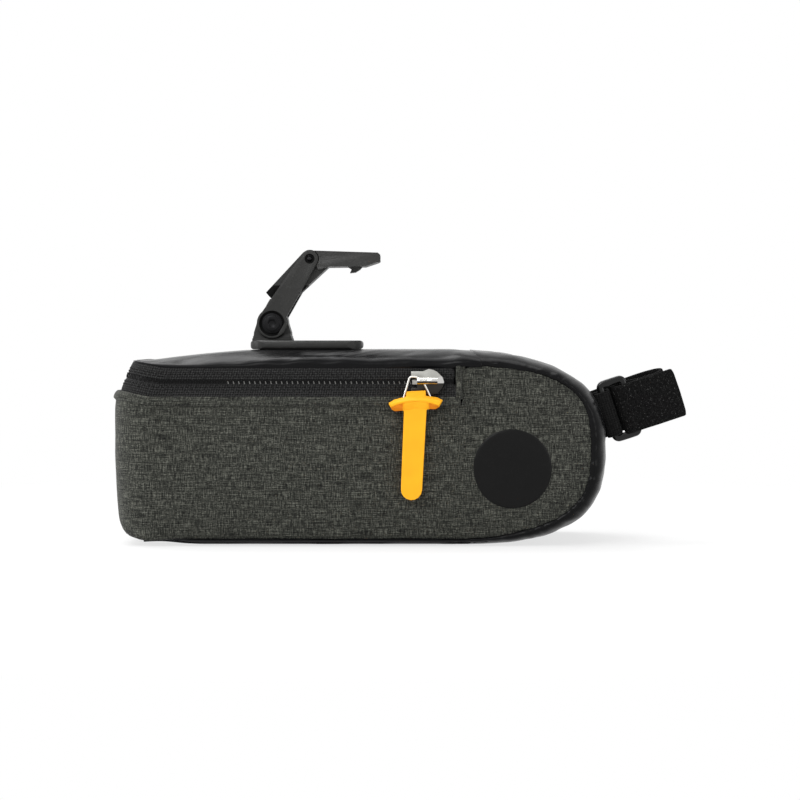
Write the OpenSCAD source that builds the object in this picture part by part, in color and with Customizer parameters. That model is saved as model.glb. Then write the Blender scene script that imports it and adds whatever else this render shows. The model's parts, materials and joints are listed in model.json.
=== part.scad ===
// Saddle bag with a quick clamp on its lid, a U-shaped zip and a hook-and-loop strap.
// X runs from the rear of the bag to its nose, Y across it, Z up. The origin lies on the
// floor, under the middle of the bag.

/* [Bag body] */
// Length from the rear wall to the nose
bag_l = 201; // [190:1:215]
// Width over the side panels
bag_w = 79; // [74:1:90]
// Height of the crown of the lid
bag_h = 81; // [78:1:90]
// Thickness of the padded walls
wall = 2.4; // [1.8:0.1:3]
// Plan radius of the rear corners
rear_r = 16; // [13:1:24]
// Radius of the heel, where the rear wall meets the bottom
heel_r = 12; // [8:1:14]
// Height of the foremost point of the nose
nose_z = 41; // [36:1:46]
// Length of the curve from the nose to the top
shoulder_l = 71; // [64:1:74]
// Length of the curve from the nose to the bottom
chin_l = 61; // [54:1:68]
// Width of the rolled edge, from the side seam to the flat crown
roll_w = 15.5; // [12:0.5:18]
// How far the rolled edge stands out in front of the side seam
roll_nose = 4.6; // [3:0.2:6]
// How far the rolled edge rises over the side seam
roll_top = 5.6; // [4:0.2:7]
// How far the rolled edge drops below the side seam
roll_low = 2.6; // [2:0.2:4]
// Height of the turned edge along the zip
binding_h = 3.3; // [2.5:0.1:4.5]
// Thickness of the turned edge
binding_t = 0.5; // [0.4:0.1:0.8]
// Thickness of the board in the bottom
board_t = 1.6; // [1:0.2:2.4]
// Radius of the round patch on the side
disc_r = 16.5; // [12:0.5:18]
// Thickness of the round patch
disc_t = 1; // [0.6:0.1:1.6]
// Place of the round patch ahead of the middle of the bag
disc_x = 62.5; // [58:0.5:64]
// Height of the centre of the round patch
disc_z = 32.2; // [28:0.5:36]

/* [Lid] */
// How far the fabric hinge of the lid lies behind the nose
hinge_back = 58.5; // [54:0.5:64]
// Length of the slope from the rear edge of the lid up to its crown
crown_run = 46; // [40:1:48]
// Height of the lid's rear shoulder below the crown
shoulder_drop = 3; // [2:0.2:3.4]
// Length of the backing plate under the clamp
lid_board_l = 74; // [60:1:78]
// Width of the backing plate
lid_board_w = 40; // [34:1:42]
// Thickness of the backing plate
lid_board_t = 1.8; // [1.2:0.2:2]

/* [Zip] */
// Depth of the lower edge of the zip below the crown
zip_drop = 19.5; // [18:0.5:22]
// Height of the zip band
zip_h = 12; // [11.5:0.5:14]
// How far the zip band leans in at the rear
lean_rear = 5.2; // [3:0.2:6]
// How far the zip band leans in at the sides
lean_side = 1.2; // [0.4:0.2:1.6]
// Thickness of the zip tape
tape_t = 1; // [0.8:0.1:1.2]
// Length of the tab that covers each end of the zip
tab_l = 3; // [2:0.5:4]
// Height of each half of the zip coil
coil_h = 1.3; // [1:0.1:1.5]
// Gap between the two halves of the coil, where the slider's post runs
coil_gap = 0.9; // [0.8:0.1:1.2]
// Height of the closed coil above the lower edge of the zip
coil_rise = 5.75; // [5.25:0.25:6.25]
// How far the coil stands out of the tape
coil_proud = 0.6; // [0.4:0.1:0.8]
// How far the closed slider lies behind the end of the zip
slider_back = 11.3; // [10:0.1:16]
// Length of the slider
slider_l = 13.5; // [12:0.5:14]
// Height of the slider
slider_h = 10.8; // [10:0.2:11]
// Thickness of each plate of the slider
slider_t = 1; // [0.8:0.1:1.2]
// Radius of the bail's wire
wire_r = 0.4; // [0.35:0.05:0.5]

/* [Pull] */
// Length of the rubber pull below its bail
pull_l = 48.8; // [44:0.2:52]
// Width of the pull's strip
pull_w = 9.3; // [8:0.1:11]
// Thickness of the pull
pull_t = 2.4; // [2:0.1:2.8]
// Span of the pull's two wings
wing_span = 22.4; // [18:0.2:24]
// Height of the wings
wing_h = 5.2; // [4:0.2:6]
// How far the wings stand out in front of the strip
wing_out = 2; // [1:0.2:3]
// Lean of the hanging pull, in degrees
pull_lean = 2.7; // [0:0.1:4]

/* [Clamp base] */
// Length of the base plate
plate_l = 47; // [42:1:52]
// Width of the base plate
plate_w = 44; // [36:1:46]
// Thickness of the base plate
plate_t = 3.7; // [3:0.1:5]
// Distance from the rear of the bag to the base plate
plate_back = 54.1; // [52:0.1:60]
// Distance from the rear of the base plate to the lower pivot
pivot_in = 8.7; // [8.5:0.1:12]
// Height of the lower pivot above the base plate
pivot_up = 7.2; // [6.9:0.1:9]
// Radius of the tower's round head
tower_r = 6.6; // [6.2:0.1:7]
// Half the length of the tower's foot
tower_foot = 7.8; // [7.4:0.1:8.2]
// Half the width of the tower across the bag
tower_half = 7.5; // [6:0.1:9]
// Radius of the pivot screw's shank
pivot_r = 2.5; // [2:0.1:2.8]
// Running clearance of the pins in their bores
running = 0.06; // [0.03:0.01:0.09]
// Radius of the screws that hold the base plate
screw_r = 1.5; // [1.2:0.1:1.8]

/* [Clamp arm] */
// Distance between the two pivots of the arm
arm_l = 31.6; // [31:0.1:36]
// Angle of the open arm above the base plate, in degrees
arm_angle = 59.7; // [55:0.1:65]
// Thickness of each cheek of the arm
cheek_t = 3; // [2.6:0.1:4]
// Gap between the cheeks and the tower
cheek_gap = 0.3; // [0.2:0.05:0.5]
// Radius of the cheek round the lower pivot
cheek_r = 6.2; // [5.9:0.1:6.6]
// Radius of the cheek round the upper pin
cheek_top_r = 3.6; // [3.4:0.1:4]
// Radius of the recess round the pivot screw
recess_r = 5.4; // [4.8:0.1:5.6]
// Depth of the recess
recess_d = 1.6; // [1.2:0.1:1.8]
// Radius of the upper pin
pin_r = 1.3; // [1:0.1:1.5]

/* [Clamp lever] */
// Length of the lever from its pin to its tip
lever_l = 29.8; // [26:0.2:32]
// Height of the lever over its pin
lever_up = 3.5; // [3.2:0.1:4]
// Depth of the lever below its pin
lever_down = 3.3; // [3:0.1:4]
// Length of the tail between the cheeks, from the pin to its corners
tail_l = 23.4; // [20:0.1:23.4]
// Depth of the hook under the lever
hook_h = 2.5; // [1.5:0.1:3]
// Half the width of the hook
hook_half = 4; // [3:0.5:6]

/* [Strap] */
// Width of the webbing
web_w = 20; // [18:1:20]
// Thickness of the strap's webbing
web_t = 1.6; // [1.2:0.1:1.8]
// Rise of the strap towards the seatpost, in degrees
strap_tilt = 18; // [10:1:22]
// Distance from the nose to the centre of the ring
ring_out = 9; // [8:0.2:11]
// Height of the centre of the ring
ring_z = 56.3; // [54:0.5:58]
// Length of the ring along the strap
ring_l = 13; // [12.5:0.5:14]
// Width of the bars of the ring
ring_bar = 3; // [2.5:0.1:3.2]
// Thickness of the ring
ring_t = 2.4; // [2:0.1:2.6]
// Play of the webbing in the ring's slot
ring_play = 0.3; // [0.2:0.1:1]
// Length of the closed loop beyond the centre of the ring
loop_l = 22.4; // [21:0.2:26]
// Length of the strap's free end beyond the centre of the ring
strap_l = 26.8; // [24:0.2:32]

/* [Hidden] */
$fn = 64;
arc_n = 9;
eps = 0.01;
soft_gap = 0.3;

x_rear = -bag_l / 2;
x_nose = bag_l / 2;
half_w = bag_w / 2;
crown_half = half_w - roll_w;
zip_low = bag_h - zip_drop;
zip_top = zip_low + zip_h;
hinge_x = x_nose - hinge_back;
lid_front = hinge_x - soft_gap;
tab_x = hinge_x - tab_l;
tape_in = 0.5;
coil_z = zip_low + coil_rise;
crown_mid_z = bag_h - shoulder_drop;

plate_x = x_rear + plate_back;
plate_z = bag_h;
plate_top = plate_z + plate_t;
pivot_x = plate_x + pivot_in;
pivot_z = plate_top + pivot_up;
arm_half = tower_half + cheek_gap + cheek_t;
pin_x = pivot_x + arm_l * cos(arm_angle);
pin_z = pivot_z + arm_l * sin(arm_angle);
tail_half = tower_half - 0.1;

slider_x = tab_x - slider_back;
coil_out = half_w - tape_in + coil_proud;
slider_face = coil_out + 0.5;
tunnel_r = 1.45;
bail_x = slider_x - 4;
bail_y = -(slider_face + slider_t + tunnel_r - 0.15);
bail_z = coil_z + 0.85;

ring_x = x_nose + ring_out;
root_u = -7.6;
root_gap = 0.3;
board_z = plate_z - wall - lid_board_t;
screw_head_r = 2.8;
screw_head_h = 1.2;
screw_in = 6;
screw_row = 14;

// ---------------------------------------------------------------- outlines

// One quarter of a rounded curve with half axes a and b and fullness n
function quarter(cx, cz, a, b, n, from) = [
  for (i = [0:arc_n])
    let (t = from + 90 * i / arc_n)
    [cx + a * sign(cos(t)) * pow(abs(cos(t)), 2 / n),
     cz + b * sign(sin(t)) * pow(abs(sin(t)), 2 / n)]
];

// Outline of the bag seen from its side, set back by inset
function side_outline(rear, nose, low, mid, top, inset) = concat(
  quarter(rear + heel_r, low + heel_r, heel_r - inset, heel_r - inset, 2, 180),
  quarter(nose - chin_l, mid, chin_l - inset, mid - low - inset, 2.5, 270),
  quarter(nose - shoulder_l, mid, shoulder_l - inset, top - mid - inset, 2.6, 0),
  [[rear + inset, top - inset]]
);

function crown_outline(inset) = side_outline(x_rear, x_nose, 0, nose_z, bag_h, inset);
function seam_outline(inset) = side_outline(
  x_rear, x_nose - roll_nose, roll_low, nose_z - 4, bag_h - roll_top, inset);

// Plan outline with round rear corners and a straight front end
function plan_outline(rear, half, r, front) = concat(
  [[front, half]],
  [for (i = [0:arc_n]) let (t = 90 + 90 * i / arc_n)
    [rear + r + r * cos(t), half - r + r * sin(t)]],
  [for (i = [0:arc_n]) let (t = 180 + 90 * i / arc_n)
    [rear + r + r * cos(t), -half + r + r * sin(t)]],
  [[front, -half]]
);

// Rectangle with round corners about the origin
function round_box(l, w, r) = [
  for (c = [[1, 1, 0], [-1, 1, 90], [-1, -1, 180], [1, -1, 270]])
    for (i = [0:6])
      let (t = c[2] + 15 * i)
      [c[0] * (l / 2 - r) + r * cos(t), c[1] * (w / 2 - r) + r * sin(t)]
];

// Outline of a ribbon of thickness t along a path of points
function unit(v) = v / norm(v);
function path_normal(path, i) =
  let (a = path[max(i - 1, 0)], b = path[min(i + 1, len(path) - 1)], d = unit(b - a))
  [-d[1], d[0]];
function ribbon(path, t) = concat(
  [for (i = [0:len(path) - 1]) path[i] + path_normal(path, i) * t / 2],
  [for (i = [len(path) - 1:-1:0]) path[i] - path_normal(path, i) * t / 2]
);

// Smooth path through chosen points
function spline_at(a, b, c, d, t) =
  b + (c - a) * t / 2 + (2 * a - 5 * b + 4 * c - d) * t * t / 2
  + (3 * b - a - 3 * c + d) * t * t * t / 2;
function smooth(p, steps) = concat(
  [for (i = [0:len(p) - 2]) for (k = [0:steps - 1])
    spline_at(p[max(i - 1, 0)], p[i], p[i + 1], p[min(i + 2, len(p) - 1)], k / steps)],
  [p[len(p) - 1]]
);

// ---------------------------------------------------------------- building blocks

// Upright slab with an outline in X and Z, centred across the bag
module across(points, half) {
  rotate([90, 0, 0])
    translate([0, 0, -half])
      linear_extrude(2 * half)
        polygon(points);
}

module at_y(y0, y1, points) {
  translate([0, (y0 + y1) / 2, 0])
    across(points, abs(y1 - y0) / 2);
}

// Bore or pin across the bag
module cross_rod(x, z, r, y0, y1) {
  translate([x, max(y0, y1), z])
    rotate([90, 0, 0])
      cylinder(r = r, h = abs(y1 - y0));
}

module plan_prism(inset) {
  translate([0, 0, -10])
    linear_extrude(bag_h + 20)
      polygon(plan_outline(x_rear + inset, half_w - inset, rear_r - inset, x_nose + 50));
}

// The bag's body: flat sides inside the seam, rolled edges up to the crown
module body_form(inset) {
  intersection() {
    hull() {
      across(seam_outline(inset), half_w - inset);
      across(crown_outline(inset), crown_half);
    }
    plan_prism(inset);
  }
}

module side_wall() {
  difference() {
    intersection() {
      across(seam_outline(0), half_w);
      plan_prism(0);
    }
    plan_prism(wall);
  }
}

// Everything behind the hinge and above the zip's lower edge
module lid_space() {
  translate([x_rear - 50, -bag_w, zip_low])
    cube([hinge_x - x_rear + 50, 2 * bag_w, bag_h]);
}

module thin_plan(rear, half, r, front, z) {
  translate([0, 0, z])
    linear_extrude(eps)
      polygon(plan_outline(rear, half, r, front));
}

// The zip's band as a leaning block that stands back by inset
module band_block(inset, front) {
  rear = x_rear + tape_in + inset;
  half = half_w - tape_in - inset;
  r = rear_r - tape_in - inset;
  hull() {
    thin_plan(rear, half, r, front, zip_low);
    thin_plan(rear + lean_rear, half - lean_side, r - lean_side, front, zip_top);
  }
}

// One strip of the band between two heights
module band_strip(low, high, proud, depth, front) {
  intersection() {
    difference() {
      band_block(-proud, front);
      band_block(depth, front + 1);
    }
    translate([x_rear - 10, -bag_w, low])
      cube([front - x_rear + 10, 2 * bag_w, high - low]);
  }
}

// The lid's crowned form, set back by inset
module lid_form(inset, front) {
  rear = x_rear + tape_in + lean_rear + inset;
  half = half_w - tape_in - lean_side - inset;
  r = rear_r - tape_in - lean_side - inset;
  hull() {
    thin_plan(rear, half, r, front, zip_top - inset);
    thin_plan(rear + 8, half - 4.3, r - 2, front, crown_mid_z - inset);
    thin_plan(rear + crown_run, crown_half, 6, front, bag_h - eps - inset);
  }
}

module screw_places() {
  for (x = [plate_x + screw_in, plate_x + plate_l - screw_in])
    for (y = [-screw_row, screw_row])
      translate([x, y, 0])
        children();
}

// ---------------------------------------------------------------- tub

module side_panel() {
  color([0.24, 0.24, 0.22])
    difference() {
      side_wall();
      lid_space();
    }
}

module gusset() {
  color([0.11, 0.11, 0.11])
    difference() {
      body_form(0);
      body_form(wall);
      side_wall();
      lid_space();
    }
}

module bottom_board() {
  back = x_rear + heel_r + 2;
  front = x_nose - chin_l + 1.5;
  color([0.2, 0.2, 0.2])
    translate([(back + front) / 2, 0, wall])
      linear_extrude(board_t)
        polygon(round_box(front - back, 2 * crown_half - 1, 8));
}

module side_binding() {
  color([0.22, 0.22, 0.21])
    difference() {
      translate([0, 0, zip_low - binding_h])
        linear_extrude(binding_h)
          polygon(plan_outline(x_rear - binding_t, half_w + binding_t, rear_r + binding_t, lid_front));
      plan_prism(0);
    }
}

module zip_tape_lower() {
  color([0.13, 0.13, 0.13])
    band_strip(zip_low, coil_z - coil_gap / 2 - coil_h, 0, tape_t, tab_x);
}

module zip_coil_lower() {
  color([0.16, 0.16, 0.16])
    band_strip(coil_z - coil_gap / 2 - coil_h, coil_z - coil_gap / 2, coil_proud,
               tape_t + 0.2, tab_x);
}

module zip_end_tabs() {
  color([0.2, 0.2, 0.19])
    for (s = [-1, 1])
      at_y(s * half_w, s * (half_w - wall), [
        [tab_x, zip_low], [hinge_x, zip_low],
        [hinge_x, zip_top - 0.4], [tab_x, zip_top - 0.4]
      ]);
}

module disc_patch() {
  color([0.19, 0.19, 0.19])
    cross_rod(disc_x, disc_z, disc_r, -half_w, -half_w - disc_t);
}

// Places its children in the strap's own frame: X along the strap, Z across the webbing
module strap_frame() {
  translate([ring_x, 0, ring_z])
    rotate([0, -strap_tilt, 0])
      children();
}

module strap_anchor() {
  color([0.1, 0.1, 0.1])
    difference() {
      strap_frame()
        translate([root_u - web_t - root_gap - 8, -web_t, -web_w / 2])
          cube([8, 2 * web_t, web_w]);
      body_form(0);
    }
}

// ---------------------------------------------------------------- lid

module lid_panel() {
  color([0.3, 0.3, 0.3])
    difference() {
      lid_form(0, lid_front);
      lid_form(wall, lid_front + 1);
      screw_places()
        translate([0, 0, board_z])
          cylinder(r = screw_r + 0.1, h = plate_z + 1 - board_z);
    }
}

module lid_board() {
  color([0.15, 0.15, 0.15])
    difference() {
      translate([plate_x + 1.6 + lid_board_l / 2, 0, board_z])
        linear_extrude(lid_board_t)
          polygon(round_box(lid_board_l, lid_board_w, 5));
      screw_places()
        translate([0, 0, board_z - 1])
          cylinder(r = screw_r + 0.1, h = lid_board_t + 2);
    }
}

module zip_tape_upper() {
  color([0.13, 0.13, 0.13])
    band_strip(coil_z + coil_gap / 2 + coil_h, zip_top, 0, tape_t, tab_x - soft_gap);
}

module zip_coil_upper() {
  color([0.16, 0.16, 0.16])
    band_strip(coil_z + coil_gap / 2, coil_z + coil_gap / 2 + coil_h, coil_proud,
               tape_t + 0.2, tab_x - soft_gap);
}

// Base plate with every edge rounded by crossing three outlines
module base_plate() {
  edge = plate_t * 0.42;
  translate([plate_x + plate_l / 2, 0, plate_z])
    intersection() {
      linear_extrude(plate_t)
        polygon(round_box(plate_l, plate_w, 7));
      translate([0, 0, plate_t / 2])
        across(round_box(plate_l, plate_t, edge), plate_w);
      translate([-plate_l, 0, plate_t / 2])
        rotate([90, 0, 90])
          linear_extrude(2 * plate_l)
            polygon(round_box(plate_w, plate_t, edge));
    }
}

// Upright with a round head, a wider foot and a stack of small steps round the foot
module tower() {
  foot_drop = 3.8;
  step_n = 3;
  step_h = 0.95;
  step_in = 0.3;
  head = [for (i = [0:16]) let (t = 180 - 180 * i / 16) [tower_r * cos(t), tower_r * sin(t)]];
  translate([pivot_x, 0, pivot_z])
    across(concat(head, [
      [tower_foot, -foot_drop], [tower_foot, -pivot_up], [-tower_foot, -pivot_up], [-tower_foot, -foot_drop]
    ]), tower_half);
  for (k = [0:step_n - 1])
    translate([pivot_x, 0, plate_top + step_h * (k + 0.5) - 0.1])
      across(round_box(2 * tower_foot + 2 * step_in * (step_n - 1 - k), step_h + 0.2, 0.3),
             tower_half + 2 - step_in * k);
}

module clip_base() {
  color([0.23, 0.23, 0.23])
    difference() {
      union() {
        base_plate();
        tower();
      }
      cross_rod(pivot_x, pivot_z, pivot_r + running, -plate_w, plate_w);
      // Room for the round ends of the cheeks beside the tower
      for (s = [-1, 1])
        cross_rod(pivot_x, pivot_z, cheek_r + 0.5,
                  s * (tower_half + 0.01), s * (arm_half + 1));
      screw_places()
        translate([0, 0, plate_z - 1])
          cylinder(r = screw_r, h = plate_t - 0.2);
    }
}

module clip_screws() {
  color([0.5, 0.5, 0.5])
    screw_places() {
      translate([0, 0, board_z])
        cylinder(r = screw_r, h = plate_z - board_z + plate_t - 1.2);
      difference() {
        translate([0, 0, board_z - screw_head_h])
          cylinder(r1 = screw_head_r - 0.5, r2 = screw_head_r, h = screw_head_h);
        translate([0, 0, board_z - screw_head_h - 1])
          cylinder(r = 1.2, h = 1.7, $fn = 6);
      }
    }
}

// ---------------------------------------------------------------- clamp arm

// Places its children at the lower pivot, with X along the arm
module arm_frame() {
  translate([pivot_x, 0, pivot_z])
    rotate([0, -arm_angle, 0])
      children();
}

// One cheek: a round foot, a bar that tapers, and a round head
module cheek(y0, y1) {
  arm_frame() {
    at_y(y0, y1, [
      [0, cheek_r], [arm_l, cheek_top_r + 0.1], [arm_l, -cheek_top_r], [cheek_r, -3.9], [0, -3.9]
    ]);
    cross_rod(0, 0, cheek_r, y0, y1);
    cross_rod(arm_l, 0, cheek_top_r, y0, y1);
  }
}

// Bridge between the cheeks, on the arm's rear edge
module arm_bridge() {
  difference() {
    arm_frame()
      translate([5.2, -arm_half + 0.5, cheek_r - 2])
        cube([arm_l - tail_l - 0.4, 2 * arm_half - 1, 1.7]);
    cross_rod(pivot_x, pivot_z, tower_r + soft_gap, -arm_half, arm_half);
    cross_rod(pin_x, pin_z, tail_l + soft_gap, -arm_half, arm_half);
  }
}

// Round recess with one flat side
module recess(y0, y1, depth_r) {
  intersection() {
    cross_rod(0, 0, depth_r, y0, y1);
    at_y(y0, y1, [
      [-9, 9], [9, 9], [9, -depth_r + 0.9], [-9, -depth_r + 0.9]
    ]);
  }
}

module clip_arm() {
  inner = tower_half + cheek_gap;
  color([0.23, 0.23, 0.23])
    difference() {
      union() {
        cheek(-arm_half, -inner);
        cheek(inner, arm_half);
        arm_bridge();
      }
      arm_frame() {
        cross_rod(0, 0, pivot_r + running, -arm_half - 1, arm_half + 1);
        cross_rod(arm_l, 0, pin_r + running, -arm_half - 1, arm_half + 1);
        recess(-arm_half - 1, -arm_half + recess_d, recess_r);
        for (s = [-1, 1])
          cross_rod(arm_l, 0, pin_r + 0.8, s * (arm_half - 0.8), s * (arm_half + 1));
      }
      translate([pivot_x, arm_half + 1, pivot_z])
        rotate([90, 0, 0])
          cylinder(r = pivot_r * 1.7, h = 1 + recess_d, $fn = 6);
    }
}

module hinge_screw() {
  seat = arm_half - recess_d + 0.5;
  head_h = 1.5;
  color([0.2, 0.2, 0.2])
    difference() {
      union() {
        cross_rod(pivot_x, pivot_z, pivot_r, -seat, arm_half - 0.4);
        cross_rod(pivot_x, pivot_z, pivot_r + 0.9, -seat, -seat - head_h);
      }
      translate([pivot_x, -seat - head_h + 1.2, pivot_z])
        rotate([90, 0, 0])
          cylinder(r = 1.7, h = 3, $fn = 6);
    }
}

module hinge_washer() {
  floor_y = arm_half - recess_d;
  color([0.15, 0.15, 0.15])
    difference() {
      cross_rod(pivot_x, pivot_z, pivot_r + 1.8, -floor_y, -floor_y - 0.5);
      cross_rod(pivot_x, pivot_z, pivot_r + running, -floor_y + 1, -floor_y - 2);
    }
}

module hinge_nut() {
  color([0.35, 0.35, 0.36])
    difference() {
      translate([pivot_x, arm_half - 0.2, pivot_z])
        rotate([90, 0, 0])
          cylinder(r = pivot_r * 1.7 - 0.1, h = recess_d - 0.2, $fn = 6);
      cross_rod(pivot_x, pivot_z, pivot_r + running, arm_half + 1, arm_half - 4);
    }
}

// Pin with a low dome on each end
module lever_pin() {
  pin_half = arm_half - 0.7;
  color([0.45, 0.45, 0.45]) {
    cross_rod(pin_x, pin_z, pin_r, -pin_half, pin_half);
    for (s = [-1, 1])
      translate([pin_x, s * pin_half, pin_z])
        sphere(r = pin_r * 0.9);
  }
}

// ---------------------------------------------------------------- clamp lever

module lever_frame() {
  translate([pin_x, 0, pin_z])
    children();
}

// The lever's leg, as wide as the arm
module lever_leg() {
  at_y(-arm_half, arm_half, [
    [0.5, lever_up], [lever_l - 1, lever_up - 0.9], [lever_l, lever_up - 1.8],
    [lever_l, -lever_down + 2.5], [lever_l - 0.8, -lever_down + 2], [lever_l - 6.2, -lever_down + 0.2],
    [7.9, -lever_down], [3.6, -lever_down - 1.4]
  ]);
}

// The tail between the cheeks, with the knuckle round the pin
module lever_tail() {
  knuckle = 3.9;
  at_y(-tail_half, tail_half, [
    [1.5, lever_up], [-0.8, knuckle - 0.1], [-2.8, 2.8],
    tail_l * [cos(217.3), sin(217.3)], tail_l * [cos(223), sin(223)],
    tail_l * [cos(229), sin(229)], tail_l * [cos(235), sin(235)],
    (tail_l - 0.5) * [cos(240), sin(240)], (tail_l - 1.6) * [cos(244), sin(244)],
    [-2.6, -13], [7.9, -lever_down], [7.9, lever_up - 0.4]
  ]);
  cross_rod(0, 0, knuckle, -tail_half, tail_half);
}

module lever_hook() {
  at_y(-hook_half, hook_half, [
    [15.5, -lever_down + 0.3], [17.6, -lever_down - 1], [16.9, -lever_down - hook_h],
    [19.3, -lever_down - hook_h + 0.3], [21.2, -lever_down - 1], [22.4, -lever_down + 0.3]
  ]);
}

module clip_lever() {
  color([0.26, 0.26, 0.25])
    lever_frame()
      difference() {
        union() {
          difference() {
            lever_leg();
            for (s = [-1, 1])
              cross_rod(0, 0, cheek_top_r + 0.35, s * tail_half, s * (arm_half + 1));
          }
          lever_tail();
          lever_hook();
        }
        cross_rod(0, 0, pin_r + running, -arm_half - 1, arm_half + 1);
      }
}

// ---------------------------------------------------------------- zip slider and pull

function slider_outline(l, h) = [
  [-l / 2, -h * 0.41], [-l * 0.14, -h * 0.41], [l * 0.04, -h / 2], [l * 0.29, -h * 0.43],
  [l * 0.44, -h * 0.24], [l / 2, 0], [l * 0.44, h * 0.24], [l * 0.29, h * 0.43],
  [l * 0.04, h / 2], [-l * 0.14, h * 0.41], [-l / 2, h * 0.41]
];

// Round bar on the slider's face that the bail turns in, with its base
module slider_bar(from, to) {
  translate([from, bail_y, bail_z])
    rotate([0, 90, 0])
      cylinder(r = tunnel_r, h = to - from);
  translate([from, bail_y, bail_z - tunnel_r])
    cube([to - from, tunnel_r, 2 * tunnel_r]);
}

module slider_body() {
  inner_face = half_w - tape_in - lean_side - tape_t - 0.5;
  post_half = coil_gap / 2 - 0.2;
  post_l = 3;
  post_from = slider_l / 2 - 5;
  bar_from = bail_x - 0.3;
  slot_from = bail_x + 2.1;
  slot_to = bail_x + 3.9;
  bar_to = slider_x + slider_l * 0.3;
  window_low = 2;
  window_high = 2.35;
  prong_l = 2.2;
  color([0.75, 0.75, 0.74]) {
    difference() {
      union() {
        translate([slider_x, 0, coil_z + 0.4])
          at_y(-slider_face, -slider_face - slider_t, slider_outline(slider_l, slider_h));
        translate([slider_x, 0, coil_z])
          at_y(-inner_face, -inner_face + slider_t, slider_outline(slider_l - 1, slider_h - 3.4));
        // Post between the two halves of the coil
        translate([slider_x + post_from, 0, coil_z])
          at_y(-slider_face - 0.1, -inner_face + 0.1, [
            [0, -post_half], [post_l, -post_half], [post_l, post_half], [0, post_half]
          ]);
        slider_bar(bar_from, slot_from);
        slider_bar(slot_to, bar_to);
      }
      translate([bail_x - 9, bail_y, bail_z])
        rotate([0, 90, 0])
          cylinder(r = wire_r + running, h = 13.2);
      // Window behind the bail
      translate([0, 0, coil_z])
        at_y(-slider_face + 0.1, -slider_face - slider_t - 0.1, [
          [slider_x - slider_l, -window_low], [bar_from, -window_low],
          [bar_from, window_high], [slider_x - slider_l, window_high]
        ]);
    }
    // Prong of the lock in the window
    translate([bar_from + 0.2, 0, bail_z])
      at_y(-slider_face, -slider_face - 0.6, [
        [-prong_l, -1.4], [0, -1.4], [0, 0.5], [-prong_l, 0.5]
      ]);
  }
}

// Centre line of the bail's bent part in X and Z, from one end of its axle to the other
bail_path = [
  [-3.4, 0], [-5, -4.4], [-6.3, -8], [-6.2, -9.1], [-5.3, -9.6],
  [5.1, -9.6], [6, -9.1], [6.1, -8], [4.7, -4.4], [3, 0]
];

module bail(r) {
  over = 0.4;
  translate([bail_x, bail_y, bail_z]) {
    across(ribbon(bail_path, 2 * r), 0.9 * r);
    translate([bail_path[0][0] - over, 0, 0])
      rotate([0, 90, 0])
        cylinder(r = r, h = bail_path[len(bail_path) - 1][0] - bail_path[0][0] + 2 * over);
  }
}

module pull_wire() {
  color([0.7, 0.7, 0.7])
    bail(wire_r);
}

// One of the pull's two wings: its front lip stands out and hangs less low than its back
module pull_wing(side, top) {
  back = pull_t / 2;
  tip = wing_span / 2;
  low = top - wing_h;
  hull() {
    at_y(-back - wing_out, -back - wing_out + 0.3, [
      for (p = [[0, top - 1.2], [tip / 2, top - 1.3], [tip - 2.6, top - 1.7], [tip - 0.8, top - 2.4],
                [tip - 1.6, top - 3.8], [0, top - 2.1]]) [side * p[0], p[1]]
    ]);
    at_y(-back + 0.2, back, [
      for (p = [[0, top + 0.2], [tip / 2, top], [tip - 2.3, top - 0.7], [tip, top - 2],
                [tip - 1.5, low + 0.5], [tip - 2.8, low - 0.3], [tip - 6.5, low], [0, low]])
        [side * p[0], p[1]]
    ]);
  }
}

// Rubber pull: a collar with two wings over a strip with a round end
module pull_tab() {
  collar_top = -3.8;
  wing_top = -6.2;
  half = pull_w / 2;
  end_r = half - 0.3;
  color([0.98, 0.75, 0.16])
    difference() {
      translate([bail_x, bail_y, bail_z])
        rotate([0, pull_lean, 0]) {
          at_y(-pull_t / 2, pull_t / 2, concat(
            [[-half + 0.8, collar_top], [half - 0.8, collar_top], [half, wing_top - wing_h]],
            [for (i = [0:8]) let (t = -180 * i / 8)
              [end_r * cos(t), -pull_l + half + end_r * sin(t)]],
            [[-half, wing_top - wing_h]]
          ));
          pull_wing(-1, wing_top);
          pull_wing(1, wing_top);
        }
      bail(wire_r + 0.02);
    }
}

// ---------------------------------------------------------------- strap

// Centre line of the strap, seen along its width: out on the far side, round the post,
// back on the near side, through the ring and back on itself
strap_path = [
  [root_u, 0.85], [-4, 2], [0, 3.2], [6, 4.6], [12, 5.3], [loop_l - 5.6, 5], [loop_l - 1.8, 3.6],
  [loop_l, 0.9], [loop_l - 0.8, -2], [loop_l - 3.6, -3.9], [12.6, -4.2], [9.2, -2],
  [6.6, -0.6], [4.6, -0.4], [2.4, -0.7], [0.8, -1.7], [0, -3.3], [0.8, -5.1], [2.6, -5.9],
  [5, -6], [9, -5.9], [12.6, -6.1], [loop_l - 3.4, -5.9], [strap_l, -5.6]
];
tab_path = [
  [root_u, -0.85], [-6.4, -1], [-4.8, -0.8], [-3.2, -1], [-2.2, -1.8], [-2, -3.2],
  [-2.4, -4.6], [-3.6, -5.3], [-5.4, -5.4], [-7.2, -5.1], [-8.2, -4.2]
];
ring_y = -3.2;

module webbing(points) {
  translate([0, 0, -web_w / 2])
    linear_extrude(web_w)
      polygon(points);
}

module strap_ring() {
  color([0.06, 0.06, 0.06])
    strap_frame()
      translate([0, ring_y + ring_t / 2, 0])
        rotate([90, 0, 0])
          linear_extrude(ring_t)
            difference() {
              polygon(round_box(ring_l, web_w + 2 * (ring_play + ring_bar), 2.4));
              polygon(round_box(ring_l - 2 * ring_bar, web_w + 2 * ring_play, 0.8));
            }
}

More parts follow.
